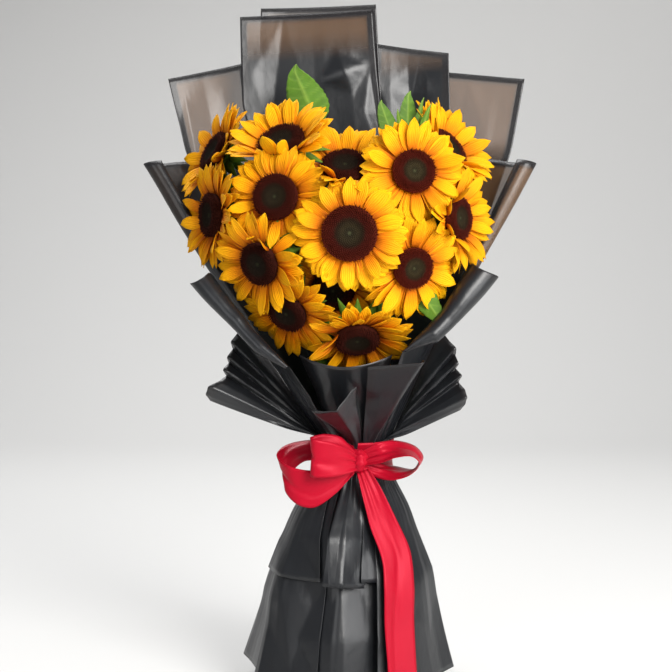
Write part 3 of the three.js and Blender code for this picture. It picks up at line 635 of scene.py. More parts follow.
def floretsOf(k):
    # florets at the golden angle whose radius grows as a square root: each a small cone that
    # leans outwards, with its share of the disc's radius and its painted highlight towards the tip
    n, sides = disc["florets"], disc["floretSides"]
    index = np.arange(n) + 0.5
    share = disc["reach"] * np.sqrt(index / n)
    angle = index * math.radians(disc["goldenAngle"]) + 0.7 * k
    rng = np.random.default_rng(900 + k)
    outer = np.clip((share - 0.5) / 0.25, 0, 1)
    tall = mix(*disc["tall"], outer) * (0.7 + 0.6 * rng.random(n))
    wide = mix(*disc["wide"], outer)
    rim = np.clip((share - 0.88) / 0.1, 0, 1)
    outerLean, rimLean = disc["lean"]
    tip = outerLean * outer * (rng.random(n) - 0.3) + rimLean * rim * rng.random(n)
    domeShares, domeHeights = np.array(disc["dome"][::-1]).T
    radius, height = disc["radii"][k] * share, np.interp(share, domeShares, domeHeights)
    away = np.stack([np.cos(angle), np.sin(angle)], -1)[:, None]
    turn = np.linspace(0, 2 * math.pi, sides, endpoint=False)
    circle = np.stack([np.cos(turn), np.sin(turn)], -1)[None]
    levels = []
    for width, up, _ in disc["cone"]:
        flat = away * (radius + tip * up)[:, None, None] + circle * (wide * width)[:, None, None]
        levels.append(np.dstack([flat, np.broadcast_to((height + tall * up)[:, None], (n, sides))]))
    top = np.dstack([away * (radius + tip)[:, None, None], (height + tall)[:, None]])
    x, y, z = np.moveaxis(np.concatenate(levels + [top], 1) * blooms[k][4], -1, 0)
    points = onBloom(blooms[k], np.hypot(x, y), np.arctan2(y, x), z).reshape(-1, 3)
    quads, fans = ringFaces(sides, len(levels))
    closed = np.concatenate([fans[sides:] - [0, 0, 1],  # the tip is the only middle point
                             [[0, i + 1, i] for i in range(sides - 2, 0, -1)]])
    start = (np.arange(n) * x.shape[1])[:, None, None]
    faces = [(quads + start).reshape(-1, 4), (closed + start).reshape(-1, 3)]
    shade = np.append(np.repeat([part[2] for part in disc["cone"]], sides), 1.0)
    return points, faces, np.stack([np.repeat(share, len(shade)), np.tile(shade, n)], 1)


def discOf(k):
    # the cushion and its florets as one mesh
    points, faces, values = joined([cushionOf(k), floretsOf(k)])
    # how lit the disc is painted and how greenish its middle is
    named = {"ring": values[:, 0], "tip": values[:, 1], "oliveAndLit": np.full(len(points), blooms[k][7])}
    return addMesh(f"discFlorets_{k + 1:02d}", points, faces, discMaterial, None, named)


# the stem: rings of stems at the tie and at the foot, with the degrees that the outer ones turn
# between the two, and the calyx, whose radius flares with the height above the disc
stalk = {
    "radius": 4.2, "ringRadii": (0, 10.5, 21), "footRadii": (0, 46, 86), "twist": 77, "sides": 14,
    "calyx": 22.0,
    "flare": ([-23.6, -20, -17, -13, -9.5, -7, -5.8], [0.21, 0.27, 0.42, 0.66, 0.86, 0.97, 0.96]),
}

# the scales round the calyx: where one starts as a share of the calyx's radius and in millimetres
# below the disc, how far it runs out, and how far down it bends, straight and as a power
bract = {
    "count": 14, "start": (0.62, 11.5), "out": 1.43, "down": (2.0, 8.0, 2.2),
    "half": 5.6, "crease": 0.12, "thickness": 0.5, "rows": 9, "cols": 5,
    "profile": ([0, 0.3, 0.55, 0.8, 1], [0.75, 1, 0.8, 0.38, 0.03]),
}

# for each leaf: stem that carries it, how far behind the disc, share that is bare stalk, tip, width
leaves = [
    (3, 34, 0.5, (-55, 42, 643), 40),
    (1, 50, 0.3, (-40, 36, 612), 18),
    (4, 34, 0.4, (36, 24, 606), 18),
    (4, 29, 0.3, (66, 26, 616), 20),
    (4, 22, 0.1, (86, -22, 600), 10),
    (4, 18, 0.1, (52, -30, 594), 9),
    (4, 26, 0.1, (80, 4, 608), 9),
    (9, 34, 0.25, (98, -74, 378), 24),
    (9, 44, 0.4, (44, -60, 500), 18),
]
blade = {
    "stalkHalf": 1.8, "thickness": 0.7, "stalkRows": 8, "rows": 40, "cols": 13,
    # teeth and their depth, pairs of side veins, and as shares: the rise of the whole leaf by its
    # length, the sideways bend of the tip, the fold along the rib, and the ripple by its width
    "teeth": 11, "toothDepth": 0.05, "veins": 7, "rise": 0.2, "tipBend": 0.12, "fold": 0.16, "ripple": 0.035,
    # shares of the blade's length with shares of its width
    "profile": ([0, 0.04, 0.12, 0.22, 0.34, 0.5, 0.7, 0.85, 0.95, 1],
                [0.12, 0.42, 0.74, 0.93, 1, 0.95, 0.72, 0.42, 0.17, 0.02]),
}


def leafOf(bloom, leaf):
    # a bare stalk that widens into a toothed blade, folded along its rib, with side veins
    _, at, bare, tip, width = leaf
    start = onBloom(bloom, 0.0, 0.0, -at * bloom[4])
    along = np.array(tip, float) - start
    side = unit(np.cross(np.array([0, -1, 0.25]), along))
    up = unit(np.cross(along, side))
    reach = np.linalg.norm(along)
    s = np.concatenate([np.linspace(0, bare, blade["stalkRows"])[:-1], np.linspace(bare, 1, blade["rows"])])
    t = np.linspace(-1, 1, blade["cols"])
    q = np.clip((s - bare) / (1 - bare), 0, 1)
    wide = np.maximum(width / 2 * np.interp(q, *blade["profile"]), 0.25)
    half = np.where(s < bare, blade["stalkHalf"], wide)
    teeth = np.abs(np.sin(blade["teeth"] * math.pi * q)) * (q > 0.05) * (q < 0.97)
    teeth = 1 + blade["toothDepth"] * teeth
    x = (half * teeth)[:, None] * t[None]
    middle = start + along * s[:, None] + up * (blade["rise"] * reach * s * (1 - s))[:, None]
    curlTip = np.clip((q - 0.86) / 0.14, 0, 1) ** 2 * blade["tipBend"] * width
    ripple = blade["ripple"] * width * np.sin(9 * q)[:, None] * (t**2)[None] * (q > 0)[:, None]
    fold = -blade["fold"] * np.abs(x) + ripple
    points = middle[:, None] + side * (x - curlTip[:, None])[..., None] + up * fold[..., None]
    rib = np.exp(-((x / 0.9) ** 2))
    vein = np.sin((q[:, None] * blade["veins"] - np.abs(t)[None] * 0.9) * math.pi)
    vein = np.exp(-(vein / 0.3) ** 2)
    rib = np.maximum(rib, 0.4 * vein * (q > 0.02)[:, None])
    place, faces = shells(points, blade["thickness"])
    uv = sheetUv(t * 0.5 + 0.5, s[:, None], x.shape)
    return place, [faces], np.column_stack([uv, both(rib)])


def stalkOf(k):
    # a round stalk from the floor to the tie and on behind the bloom, and its calyx
    bloom = blooms[k]
    size = bloom[4]
    which, degrees = bloom[5]
    r, foot = stalk["ringRadii"][which], stalk["footRadii"][which]
    a, f = math.radians(degrees), math.radians(degrees + (stalk["twist"] if which else 0))
    line = curveThrough([
        (bunch["footX"] + foot * math.cos(f), foot * math.sin(f), 0),
        (bunch["tieX"] + r * math.cos(a), r * math.sin(a), bunch["tieZ"]), bloom[6],
        onBloom(bloom, 0.0, 0.0, -50 * size), onBloom(bloom, 0.0, 0.0, -22 * size)], np.linspace(0, 0.75, 46))
    heights, flare = np.array(stalk["flare"])
    reach = min(stalk["calyx"], disc["radii"][k] - 0.8)
    radii = np.concatenate([np.full(len(line), stalk["radius"]), flare * reach * size])
    line = np.concatenate([line, onBloom(bloom, 0.0, 0.0, heights * size)])
    place, faces, uv = tubeOf(line, radii, stalk["sides"])
    return place, faces, np.column_stack([uv, 0.25 + 0.2 * np.cos(2 * math.pi * uv[:, 0] * 7)])


def bractsOf(k):
    # pointed scales that leave the calyx and bend back, in two rows
    bloom = blooms[k]
    size = bloom[4]
    n = bract["count"]
    rng = np.random.default_rng(300 + k)
    angle = (2 * math.pi * (np.arange(n) / 2 + 0.3 * (k % 3)) / (n / 2))[:, None, None]
    s, t = np.linspace(0, 1, bract["rows"]), np.linspace(-1, 1, bract["cols"])
    (share, below), (straight, bent, power) = bract["start"], bract["down"]
    reach = (np.where(np.arange(n) % 2, 0.9, 1.0) * (0.92 + 0.16 * rng.random(n)))[:, None]
    radius = (stalk["calyx"] * size * (share + bract["out"] * s * reach))[:, :, None]
    height = (-(below + (straight * s + bent * s**power) * reach) * size)[:, :, None]
    half = bract["half"] * np.interp(s, *bract["profile"])
    x = np.broadcast_to(half[:, None] * t, (n, len(s), len(t)))
    turn, height = angle + np.arctan2(x, radius), height - bract["crease"] * np.abs(x)
    sheet = onBloom(bloom, np.hypot(radius, x), turn, height)
    place, faces = shells(sheet[:, :, ::-1], bract["thickness"])
    rib = 0.6 * np.exp(-((x / 0.8) ** 2))
    return place, [faces], np.column_stack([sheetUv(t * 0.5 + 0.5, s[:, None], x.shape), both(rib)])


def stemOf(k):
    # the stalk, the bracts and the leaves that this stem carries as one mesh
    parts = [stalkOf(k), bractsOf(k)] + [leafOf(blooms[k], leaf) for leaf in leaves if leaf[0] == k]
    points, faces, values = joined(parts)
    named = {"rib": values[:, 2]}
    return addMesh(f"flowerStem_{k + 1:02d}", points, faces, greenMaterial, values[:, :2], named)


for k in range(len(blooms)):
    for made, kind in ((petalRing(k), "petals"), (discOf(k), "disc"), (stemOf(k), "stem")):
        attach(made, "root")
        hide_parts(f"{kind}_{k + 1:02d}")
print("blooms made")


# film wrap
film = {
    "waist": 30.0, "step": 1.6, "thickness": 0.35, "cols": 73, "spacing": 5.0, "border": 7.5,
    # the skirt's heights, each with its radius and the step from layer to layer, and the heights
    # near the tie, each with how far the film stands off its waist
    "skirt": [(-80, 119.7, 4.0), (16, 97.5, 3.6), (120, 73.5, 3.2), (185, 52.6, 2.6)],
    "neck": [(220, 3.0), (240, 0.0), (258, 2.6)],
    # degrees and rows of a collar's tube
    "tube": (240, 23),
    # rounding of the rows, flat sides of the hem, where one faces, and the height they start at
    "rounding": 5, "sides": 8, "facing": 286.5, "flatBelow": 200,
    # gathers at the tie: depth, how far off they are deepest, how they fade, waves about the bunch
    "gather": 1.0, "gatherReach": (14, 26), "gatherWaves": (27, 44),
    # broad folds: depth, how far off they start and grow, shares above and below the tie, waves
    "folds": 3.0, "foldReach": (10, 120), "foldShares": (0.7, 0.4), "foldWaves": (7, 12),
    # an edge through points: its samples, rounds of averaging for it and for a calm line, and
    # how far its bends are deepened away from that line
    "edgeSamples": 241, "edgeRounds": (5, 600), "deepen": 0.7,
    # how far the left edge of a panel stands off the one below
    "raised": {"film_front_cone": 12.0, "film_front_fold": 7.0, "film_apron": 5.0, "film_collar_right": 6.0},
    # dents with flat sides: middle x and z, half width, half height, depth, turn in degrees
    "dents": [(0, 640, 30, 26, -7, 20), (34, 600, 12, 46, 5, 8), (-72, 636, 26, 60, 4, -6),
              (-160, 560, 22, 60, 5, 12), (74, 620, 26, 40, 4, -10), (150, 580, 30, 60, -4, 15),
              (-11, 163, 38, 62, 10, 0), (-4, 66, 44, 84, 7, 0), (-62, 100, 30, 66, 4, 6),
              (30, 168, 14, 40, -3, 8), (78, 120, 24, 60, 4, 10), (16, 300, 20, 34, -4, 25),
              (-22, 296, 20, 30, 4, -20), (-95, 396, 20, 34, -3, 40), (92, 396, 24, 40, 3, -38),
              (-90, 330, 26, 24, 3, 60), (88, 320, 26, 24, -3, -60)],
}


def axisX(z):
    # the bunch's middle moves sideways from the hem to the tie
    return mix(bunch["skirtX"], bunch["tieX"], np.clip(z / bunch["tieZ"], 0, 1))


def arc(start, stop, radius, z):
    # an arc about the bunch's middle that turns into flat sides towards the hem: a flat side lies
    # as far in as the cosine of half its angle, over the cosine of the angle from its middle
    def row(s):
        angle = np.radians(mix(start, stop, s))
        low = np.clip((film["flatBelow"] - z) / film["flatBelow"], 0, 1)
        half = math.pi / film["sides"]
        off = (angle - math.radians(film["facing"]) + half) % (2 * half) - half
        r = radius * mix(1, 1.02 * math.cos(half) / np.cos(off), low ** 0.5)
        x = axisX(z) + (1 + bunch["skirtStretch"] * low) * r * np.cos(angle)
        return np.stack([x, r * np.sin(angle), np.full(len(s), float(z))], 1)
    row.angles = (start, stop)
    return row


def edge(p, q, bulge=(0, 0, 0)):
    # a straight edge that bulges in its middle, as a parabola
    p, q, bulge = (np.array(a, float) for a in (p, q, bulge))
    return lambda s: p + (q - p) * s[:, None] + bulge * (4 * s * (1 - s))[:, None]


def path(*points):
    # an edge through given points, its corners a little rounded and its bends then deepened
    points = np.array(points, float)

    def averaged(line, times):
        line = line.copy()
        for _ in range(times):
            line[1:-1] = (line[:-2] + line[1:-1] * 2 + line[2:]) / 4
        return line

    def row(s):
        fine = np.linspace(0, 1, film["edgeSamples"])
        place = fine * (len(points) - 1)
        line = np.stack([np.interp(place, np.arange(len(points)), column) for column in points.T], 1)
        few, many = film["edgeRounds"]
        soft = averaged(line, few)
        soft = soft + film["deepen"] * (soft - averaged(soft, many))
        return np.stack([np.interp(s, fine, column) for column in soft.T], 1)
    return row


def rolled(p, q, radius, turn, towards):
    # a straight edge over the first half that then rolls round a circle towards a direction
    p, q, towards = (np.array(a, float) for a in (p, q, towards))
    on = unit(q - p)
    out = unit(towards - on * towards.dot(on))

    def row(s):
        angle = math.radians(turn) * np.clip(2 * s - 1, 0, 1)
        flat = p + (q - p) * np.clip(2 * s, 0, 1)[:, None]
        return flat + on * (radius * np.sin(angle))[:, None] + out * (radius * (1 - np.cos(angle)))[:, None]
    return row


def collarRows(base, line, radii, cut):
    # a top edge that rolls forwards and down into a tube along a line: the tube widens towards
    # its open end, which is cut back by a share of its length at the front
    ends = line(np.array([0.0, 1.0]))
    axis = unit(ends[1] - ends[0])

    def turned(turn):
        a = math.radians(turn)

        def row(s):
            t = s * (1 - cut * max(0, math.sin(a)))
            on = line(t) - base(t)
            on = unit(on - (on @ axis)[:, None] * axis)
            out = np.cross(axis, on)
            out *= -np.sign(out[:, 2:])
            # the tube grows out of the edge over the first part of its length
            r = (mix(radii[0], radii[1], t) * np.clip(0.2 + 3.2 * t, 0, 1))[:, None]
            return line(t) + on * r * math.sin(a) + out * r * (1 - math.cos(a))
        return row
    return [turned(t) for t in np.linspace(0, *film["tube"])]


def layerRadius(layer, z):
    # the skirt's radius at a height: a step wider for each layer further out
    heights, radii, steps = np.array(film["skirt"]).T
    return np.interp(z, heights, radii + steps * layer)


def lower(layer, hem, waist, hemZ):
    # the rows of a sheet from its hem to just above the tie, turning from the hem's angles to
    # the waist's
    rows = []
    for z in [hemZ] + [z for z in (120, 185) if z > hemZ]:
        t = np.clip((z - 16) / 204, 0, 1) ** 2
        rows.append(arc(mix(hem[0], waist[0], t), mix(hem[1], waist[1], t), layerRadius(layer, z), z))
    r = film["waist"] + film["step"] * layer
    return rows + [arc(*waist, r + off, z) for z, off in film["neck"]]


lineLeft = edge((-56, -86, 340), (-139, -42, 436), (0, -2, -3))
lineRight = edge((56, -86, 356), (129, -46, 444), (0, -2, -3))
collarLeft = lower(2, (256, 214), (248, 176), 14)
collarRight = lower(2, (-72, -36), (-66, -8), 16)

# name, rows, how thin and brown it looks where it lies alone, height it is doubled below
sheets = [
    ("wrap_back_tall", lower(0, (118, 62), (118, 62), 16) + [
        edge((-70, 62, 500), (42, 66, 500), (0, 6, 0)), edge((-109, 76, 600), (38, 84, 600), (0, 6, 0)),
        edge((-112, 90, 699), (30, 96, 708), (0, 6, 0))], 0.9, 664),
    ("wrap_back_tall_rear", lower(1, (124, 56), (124, 56), 18) + [
        edge((-62, 72, 500), (43, 74, 500), (0, 6, 0)), edge((-92, 86, 600), (40, 91, 600), (0, 6, 0)),
        edge((-90, 99, 709), (34, 103, 714), (0, 6, 0))], 0.9, 640),
    ("wrap_back_left", lower(2, (160, 100), (162, 96), 22) + [
        edge((-140, 76, 480), (-50, 86, 480), (0, 6, 0)), edge((-170, 86, 556), (-96, 101, 560), (0, 5, 0)),
        edge((-190, 96, 634), (-108, 110, 652), (0, 5, 0))], 1.0, 500),
    ("wrap_back_right", lower(2, (84, 28), (86, 25), 18) + [
        edge((24, 84, 480), (104, 74, 480), (0, 6, 0)), edge((33, 98, 580), (114, 90, 590), (0, 5, 0)),
        edge((33, 111, 673), (113, 104, 662), (0, 4, 0))], 0.7, 648),
    ("wrap_back_far_right", lower(3, (66, 10), (78, 18), 24) + [
        edge((40, 96, 480), (152, 70, 480), (0, 6, 0)), edge((56, 108, 570), (180, 86, 555), (0, 6, 0)),
        edge((58, 118, 648), (195, 100, 634), (0, 5, 0))], 1.0, 545),
    ("wrap_wing_left", lower(1, (154, 228), (132, 202), 26) + [
        rolled((-72, 62, 437), (-142, 8, 437), 8, 190, (1, -1, 0)),
        rolled((-120, 74, 550), (-203, 36, 540), 11, 210, (1, -1, 0.3))], 0.12, 440),
    ("wrap_wing_right", lower(1, (14, -62), (48, -8), 18) + [
        rolled((74, 62, 437), (138, 8, 439), 8, 190, (-1, -1, 0)),
        rolled((122, 74, 550), (193, 36, 541), 11, 210, (-1, -1, 0.3))], 0.9, 430),
    ("wrap_collar_left", collarLeft + collarRows(collarLeft[-1], lineLeft, (6, 13), 0.1), 0.0, 0),
    ("wrap_collar_right", collarRight + collarRows(collarRight[-1], lineRight, (10, 17), 0.1), 0.0, 0),
    ("wrap_apron", lower(0, (246, 294), (238, 302), 12) + [
        edge((-46, -70, 350), (46, -70, 351), (0, -16, -10))], 0.0, 0),
    ("wrap_pleats_left", lower(3, (190, 254), (168, 236), 122) + [
        edge((-55, -8, 304), (-57, -27, 269)),
        path((-101, -16, 378), (-110, -18, 367), (-115, -25, 360), (-115, -19, 352),
             (-119, -28, 345), (-119, -22, 338), (-123, -31, 332), (-122, -25, 325),
             (-128, -34, 320), (-137, -40, 315), (-140, -34, 307), (-137, -27, 300))], 0.0, 0),
    ("wrap_pleats_right", lower(3, (3, -60), (6, -56), 18) + [
        edge((66, -7, 301), (58, -28, 262)),
        path((97, -14, 373), (106, -21, 361), (112, -28, 354), (113, -23, 346),
             (115, -31, 339), (114, -24, 332), (118, -34, 326), (117, -27, 318),
             (121, -37, 312), (123, -41, 304), (122, -34, 296), (118, -27, 289))], 0.0, 0),
    ("wrap_front_fold", lower(3, (276, 294), (281, 301), 122) + [
        rolled((22, -100, 342), (72, -109, 346), 4.5, 160, (0, 1, 0.2))], 0.0, 0),
    ("wrap_front_cone", lower(4, (256, 281), (255, 279), 118) + [
        path((-35, -78, 301), (-40, -91, 307), (-31, -106, 301), (-9, -111, 302), (11, -99, 322))], 0.0, 0),
]


def alongRows(rows, s):
    # straight lines between the rows, sampled evenly, their corners rounded by averaging, and
    # the angle about the tie that each point belongs to
    grid = np.array([row(s) for row in rows])
    waist = next(row.angles for row in reversed(rows) if hasattr(row, "angles"))
    angle = np.array([np.radians(mix(*getattr(row, "angles", waist), s)) for row in rows])
    length = np.linalg.norm(np.diff(grid, axis=0), axis=2).mean(1)
    reach = np.concatenate([[0], np.cumsum(length)])
    steps = np.linspace(0, reach[-1], max(int(reach[-1] / film["spacing"]), 12))
    i = np.clip(np.searchsorted(reach, steps, side="right") - 1, 0, len(rows) - 2)
    t = ((steps - reach[i]) / np.maximum(reach[i + 1] - reach[i], 1e-9))[:, None]
    smooth = grid[i] * (1 - t[..., None]) + grid[i + 1] * t[..., None]
    turn = angle[i] * (1 - t) + angle[i + 1] * t
    for _ in range(film["rounding"]):
        smooth[1:-1] = (smooth[:-2] + 2 * smooth[1:-1] + smooth[2:]) / 4
    return smooth, turn


def creased(x):
    # a wave with flat sides and sharp turns
    return 2 / math.pi * np.arcsin(np.sin(x))


def dented(p):
    # two slow waves, and the depth of every flat-sided dent: it falls off in proportion to the
    # distance across and along the dent
    px, pz = p[..., 0], p[..., 2]
    total = 0.7 * np.sin(0.021 * px + 0.017 * pz + 1.3) + 0.5 * np.sin(0.043 * pz - 0.037 * px)
    for x, z, wide, high, depth, degrees in film["dents"]:
        a = math.radians(degrees)
        u = (px - x) * math.cos(a) + (pz - z) * math.sin(a)
        w = (pz - z) * math.cos(a) - (px - x) * math.sin(a)
        total = total + depth * np.maximum(0, 1 - np.abs(u) / wide - np.abs(w) / high)
    return total


def filmSheet(name, rows, thin, doubled):
    # the sheet with small gathers at the tie, broad folds that grow away from it, dents, and a
    # border of folded film; below a height it is marked as solid and dark as film doubled by a
    # second sheet
    s = np.linspace(0, 1, film["cols"])
    grid, turn = alongRows(rows, s)
    normal = gridNormals(grid)
    normal *= np.sign((normal * (grid - np.array([bunch["tieX"], 0, 0])))[..., :2].sum(-1).mean())
    z, tieZ = grid[..., 2], film["neck"][1][0]
    away = np.abs(z - tieZ)
    deepest, fade = film["gatherReach"]
    start, growth = film["foldReach"]
    above, below = film["foldShares"]
    gathers = film["gather"] * np.clip(away / deepest, 0, 1)
    gathers = gathers * np.exp(-np.clip(away - deepest, 0, None) / fade)
    broad = film["folds"] * np.clip((away - start) / growth, 0, 1) * np.where(z > tieZ, above, below)
    broad = broad * np.clip((grid[-1, :, 2].mean() - z) / 40, 0.2, 1)  # calmer at the top edge
    coarse, fine = film["gatherWaves"]
    gathers = gathers * (creased(coarse * turn) + 0.5 * np.sin(fine * turn))
    coarse, fine = film["foldWaves"]
    broad = broad * (0.65 * creased(coarse * turn + 0.8) + 0.35 * creased(fine * turn + 2))
    # the left edge of some panels stands off the panel below it, so that they turn to the right
    lift = gathers + broad + film["raised"].get(name, 0) * (1 - s) * np.clip((230 - z) / 110, 0, 1)
    grid = grid + normal * (lift + dented(grid) * np.clip(away / 80, 0, 1))[..., None]
    toTop, across = runOf(grid[::-1], 0)[::-1], runOf(grid, 1)
    toSide = np.minimum(across, across[:, -1:] - across)
    rim = np.where(z > 300, np.minimum(toTop, toSide), toTop)
    border = np.clip((film["border"] + 0.8 - rim) / 1.6, 0, 1)
    alone = thin * np.clip((z - doubled + 14 - 10 * s) / 28, 0, 1)
    place, faces = shells(grid, film["thickness"])
    uv = sheetUv(across * 0.01, toTop * 0.01, across.shape)
    piece = addMesh(name, place, faces, filmMaterial, uv, {"border": both(border), "thin": both(alone)})
    return piece, flatArea(grid), across[:, -1].max() * 1e-3, toTop[0].max() * 1e-3


for name, rows, thin, doubled in sheets:
    piece, area, width, length = filmSheet("film_" + name[5:], rows, thin, doubled)
    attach(piece, "root")
    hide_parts(name)
    min(area, width * length)
print("film made")


# ribbon
ribbon = {
    "width": 38.0, "thickness": 0.45, "cols": 13, "rounding": 6,
    # pleats where a strap is narrower than fullWidth: their number and depth; its arch across; and
    # one crease that wanders along it: height, width, and how far it wanders as shares
    "fullWidth": 36, "pleats": 3, "gather": 2.6, "arch": 0.5, "crease": 1.5,
    "creaseWidth": 0.07, "wander": 0.2,
    # place and radii of the knot, points round it and up it, and of its pleats round it and up
    # it the depth and the number
    "knot": (13, -47, 240), "knotRadii": (10.5, 7.6, 12.2), "knotPoints": (40, 24),
    "knotPleats": ((0.07, 5), (0.05, 9)),
    # points round the band, how far its two walls lie off its profile, radii and heights up that
    "bandTurn": 96, "bandWalls": (0.95, 0.25),
    "band": [(39.9, 221.5), (38.6, 226), (37.9, 233), (37.75, 240), (38.0, 247), (38.9, 253), (39.9, 257.5)],
}
# straps of the bow, and the tail: middle points, each with the vector across the ribbon
bow = [
    [(16, -47, 242, 0, 2, 14), (36, -52, 249, -2, 9, 20), (54, -47, 252, 0, 32, 12),
     (70, -45, 249, 5, 35, 5), (77, -43, 240, 6, 36, 1), (70, -43, 230, 5, 35, -2),
     (52, -43, 228, 2, 32, 9), (34, -44, 231, 0, 9, 16), (16, -49, 238, 0, 2, 14)],
    [(10, -45, 243, 0, 2, 14), (-16, -46, 250, 0, 16, 20), (-42, -39, 250, -4, 26, 16),
     (-58, -43, 242, -10, 24, 22), (-64, -55, 230, -8, 6, 32), (-52, -65, 219, -6, 0, 38),
     (-30, -65, 215, 2, 0, 38), (-8, -59, 224, 4, 2, 30), (10, -52, 236, 2, 2, 14)],
    [(10, -51, 246, 0, 2, 12), (-6, -61, 254, 4, 0, 26), (-22, -67, 253, 2, 0, 36),
     (-32, -71, 250, 0, 0, 38), (-34, -76, 249, 0, 0, 39), (-30, -79, 248, 0, 0, 39),
     (-14, -75, 246, 0, 0, 36), (0, -66, 243, 0, 0, 26), (11, -57, 240, 0, 2, 14)],
]
tail = [(18, -52.1, 231, 11, 2, 5), (26, -58.5, 212, 18, 5, 8), (38, -62, 180, 26, 12, 8),
        (51, -66, 148, 29, 18, 6), (54, -74, 118, 31, 19, -2), (54, -81, 84, 30, 18, 2),
        (56, -89, 48, 29, 17, 0), (58, -97, 13, 29, 16, 0)]


def strap(points):
    # a smooth ribbon through the middle points: where it narrows it gathers into long pleats
    knots = np.arange(len(points))
    steps = np.linspace(0, 1, 10 * (len(points) - 1) + 1)
    middle = curveThrough([p[:3] for p in points], steps)
    ways = np.array(points, float)[:, 3:].T
    across = np.stack([np.interp(steps * knots[-1], knots, way) for way in ways], 1)
    for _ in range(ribbon["rounding"]):
        across[1:-1] = (across[:-2] + 2 * across[1:-1] + across[2:]) / 4
    t = np.linspace(-0.5, 0.5, ribbon["cols"])
    grid = middle[:, None] + across[:, None] * t[None, :, None]
    narrow = np.clip(1 - np.linalg.norm(across, axis=1) / ribbon["fullWidth"], 0, 1)[:, None]
    off = t - ribbon["wander"] * np.sin(4 * steps + 1)[:, None]
    pleat = ribbon["gather"] * narrow * np.cos(2 * math.pi * ribbon["pleats"] * t)
    pleat = pleat + ribbon["arch"] * np.cos(2 * math.pi * t)
    pleat = pleat + ribbon["crease"] * np.exp(-(off / ribbon["creaseWidth"]) ** 2)
    return grid + gridNormals(grid) * pleat[..., None]


def strapPart(points):
    # a ribbon through the middle points as a thin closed sheet, with its area and its length
    grid = strap(points)
    place, faces = shells(grid, ribbon["thickness"])
    along = runOf(grid, 0)
    uv = sheetUv(np.linspace(0, ribbon["width"] * 0.01, ribbon["cols"]), along * 0.01, along.shape)
    return (place, [faces], uv), flatArea(grid), along[-1].mean() * 1e-3


def knotPart():
    # a rounded knot: an egg shape with pleats that run over it
    around, up = ribbon["knotPoints"]
    turn = np.linspace(0, 2 * math.pi, around, endpoint=False)
    rise = np.linspace(0.04, math.pi - 0.04, up)[:, None]
    (deep, count), (deepUp, countUp) = ribbon["knotPleats"]
    swell = 1 + deep * np.cos(count * turn) * np.sin(rise) + deepUp * np.cos(countUp * rise)
    ball = [np.sin(rise) * np.cos(turn), np.sin(rise) * np.sin(turn), -np.cos(rise)]
    ball = np.stack(np.broadcast_arrays(*ball), -1) * swell[..., None]
    rings = ball * ribbon["knotRadii"] + ribbon["knot"]
    ends = [rings[0].mean(0) - [0, 0, 0.05], rings[-1].mean(0) + [0, 0, 0.05]]
    uv = np.stack(np.broadcast_arrays(turn * 0.05, rise * 0.1), -1).reshape(-1, 2)
    faces = ringFaces(around, up)
    return np.concatenate([rings.reshape(-1, 3), ends]), faces, np.concatenate([uv, [[0, 0], [0, 0.3]]])


def bandPiece():
    # the turn round the waist: a ring carried up a profile, a little pleated, as a thin closed
    # wall whose section runs up the outer side and down the inner one
    m, n = ribbon["bandTurn"], ribbon["cols"]
    turn = np.linspace(0, 2 * math.pi, m, endpoint=False)[:, None]
    profile = np.array(ribbon["band"])
    heights = np.linspace(profile[0, 1], profile[-1, 1], n)
    r = np.interp(heights, profile[:, 1], profile[:, 0])
    wobble = 0.35 * np.cos(3 * math.pi * np.linspace(0, 1, n)) * np.cos(2 * turn + 1)
    walls = []
    for off in ribbon["bandWalls"]:
        radius = r + off + wobble
        place = [bunch["tieX"] + radius * np.cos(turn), radius * np.sin(turn), heights]
        walls.append(np.stack(np.broadcast_arrays(*place), -1))
    loop = np.concatenate([np.arange(n), n + np.arange(n)[::-1]])
    following = np.roll(loop, -1)
    i = np.arange(m)[:, None] * 2 * n
    after = np.roll(i, -1, 0)
    faces = np.stack([i + loop, after + loop, after + following, i + following], -1).reshape(-1, 4)
    width = np.tile(np.linspace(0, ribbon["width"] * 0.01, n), 2)
    uv = np.stack(np.broadcast_arrays(width, turn * 0.4), -1)
    length = 2 * math.pi * (r.mean() + sum(ribbon["bandWalls"]) / 2) * 1e-3
    return addMesh("waistRibbon", np.concatenate(walls, 1), faces, ribbonMaterial, uv), length


straps = [strapPart(points) for points in bow]
points, faces, uv = joined([part for part, _, _ in straps] + [knotPart()])
bowPiece = addMesh("bowLoops", points, faces, ribbonMaterial, uv)
(points, faces, uv), tailArea, tailLength = strapPart(tail)
tailPiece = addMesh("bowTail", points, faces, ribbonMaterial, uv)
band, bandLength = bandPiece()
bowArea, bowLength = sum(area for _, area, _ in straps), sum(length for _, _, length in straps)
width = ribbon["width"] / 1000
for piece, replaced, held, rest, length, area in (
        (band, "ribbon_band", "stretched", "binding", bandLength, None),
        (bowPiece, "ribbon_bow", "folded", "ribbon_band", bowLength, min(bowArea, width * bowLength)),
        (tailPiece, "ribbon_tail", "hung", "ribbon_bow", tailLength, min(tailArea, width * tailLength))):
    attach(piece, "root")
    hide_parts(replaced)
for slot in nodes["binding"].material_slots:
    slot.material = twineMaterial
print("ribbon made")

# floor, light and camera, in metres
studio = {
    "lens": 85.8, "camera": (-0.0037, -1.6508, 0.500), "tilt": 85.26,
    "floor": (0.60, 0.598, 0.588), "air": (0.94, 0.95, 1.0), "airStrength": 0.30,
    "aim": (0, 0, 0.42), "white": (1, 1, 1),
}
# name, place, size, power and colour
lamps = [
    ("keyLight", (1.0, -1.55, 1.25), 0.95, 52.0, (1.0, 0.985, 0.96)),
    ("fillLight", (-0.9, -1.7, 0.75), 0.9, 6.5, studio["white"]),
    ("softBox", (1.4, -1.0, 0.5), 0.8, 12.0, studio["white"]),
    ("backLight", (-0.4, 0.9, 2.1), 1.6, 54.0, studio["white"]),
]


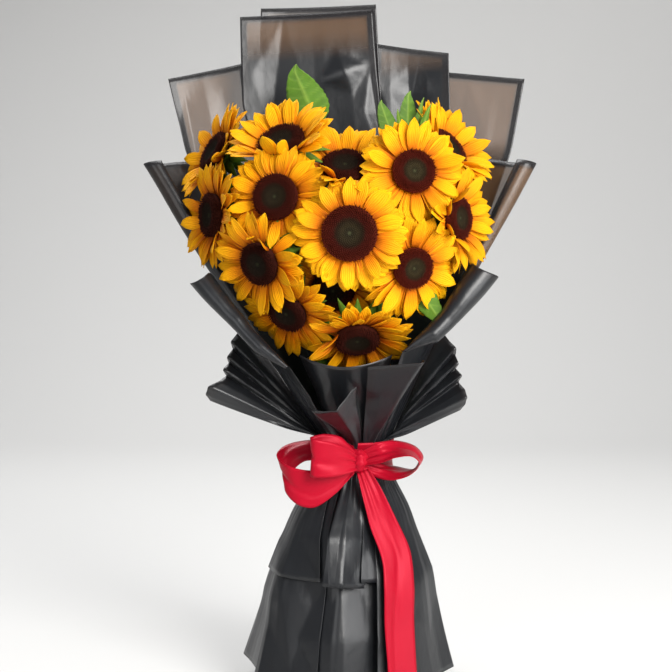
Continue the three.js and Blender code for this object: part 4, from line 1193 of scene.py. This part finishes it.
def makeStage():
    # the floor runs back, bends up through a quarter circle and goes on upright, as a profile
    # carried along X
    material, tree, shader = newMaterial("paleFloor")
    setInputs(tree, shader, {"Base Color": (*studio["floor"], 1), "Roughness": 0.9})
    bend = np.linspace(0, math.pi / 2, 14)[1:]
    y = np.concatenate([np.linspace(-4, 1.6, 10), 1.6 + 0.9 * np.sin(bend), [2.5, 2.5]])
    z = np.concatenate([np.zeros(10), 0.9 - 0.9 * np.cos(bend), [2.5, 5.0]])
    x = np.array([-5.0, 5.0])
    place = np.stack(np.broadcast_arrays(x, y[:, None], z[:, None]), -1) * 1000 + bunch["centre"]
    a = np.arange(len(y) - 1) * 2
    piece = addMesh("studioFloor", place, np.stack([a, a + 1, a + 3, a + 2], 1), material)


def addLight(name, place, size, power, colour):
    # a square lamp that faces the flowers
    lamp = bpy.data.lights.new(name, "AREA")
    lamp.size, lamp.energy, lamp.color = size, power, colour
    piece = bpy.data.objects.new(name, lamp)
    bpy.context.scene.collection.objects.link(piece)
    piece.location = place
    aim = np.array(studio["aim"]) - place
    yaw, pitch = math.atan2(aim[1], aim[0]), math.acos(-aim[2] / np.linalg.norm(aim))
    piece.rotation_euler = (pitch, 0, yaw - math.pi / 2)


makeStage()
for row in lamps:
    addLight(*row)
world = bpy.data.worlds.new("studioAir")
bpy.context.scene.world = world
world.use_nodes = True
air = {"Color": (*studio["air"], 1), "Strength": studio["airStrength"]}
setInputs(world.node_tree, world.node_tree.nodes["Background"], air)
bpy.context.scene.view_settings.view_transform = "Standard"

lens = bpy.data.cameras.new("photoView")
lens.lens = studio["lens"]
lens.sensor_width = 36
camera = bpy.data.objects.new("photoView", lens)
bpy.context.scene.collection.objects.link(camera)
camera.location = studio["camera"]
camera.rotation_euler = (math.radians(studio["tilt"]), 0, 0)
bpy.context.scene.camera = camera

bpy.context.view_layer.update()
meshes = [o.data for o in bpy.data.objects if o.type == "MESH" and o.name not in nodes]
print("triangles:", sum(len(face.vertices) - 2 for mesh in meshes for face in mesh.polygons))
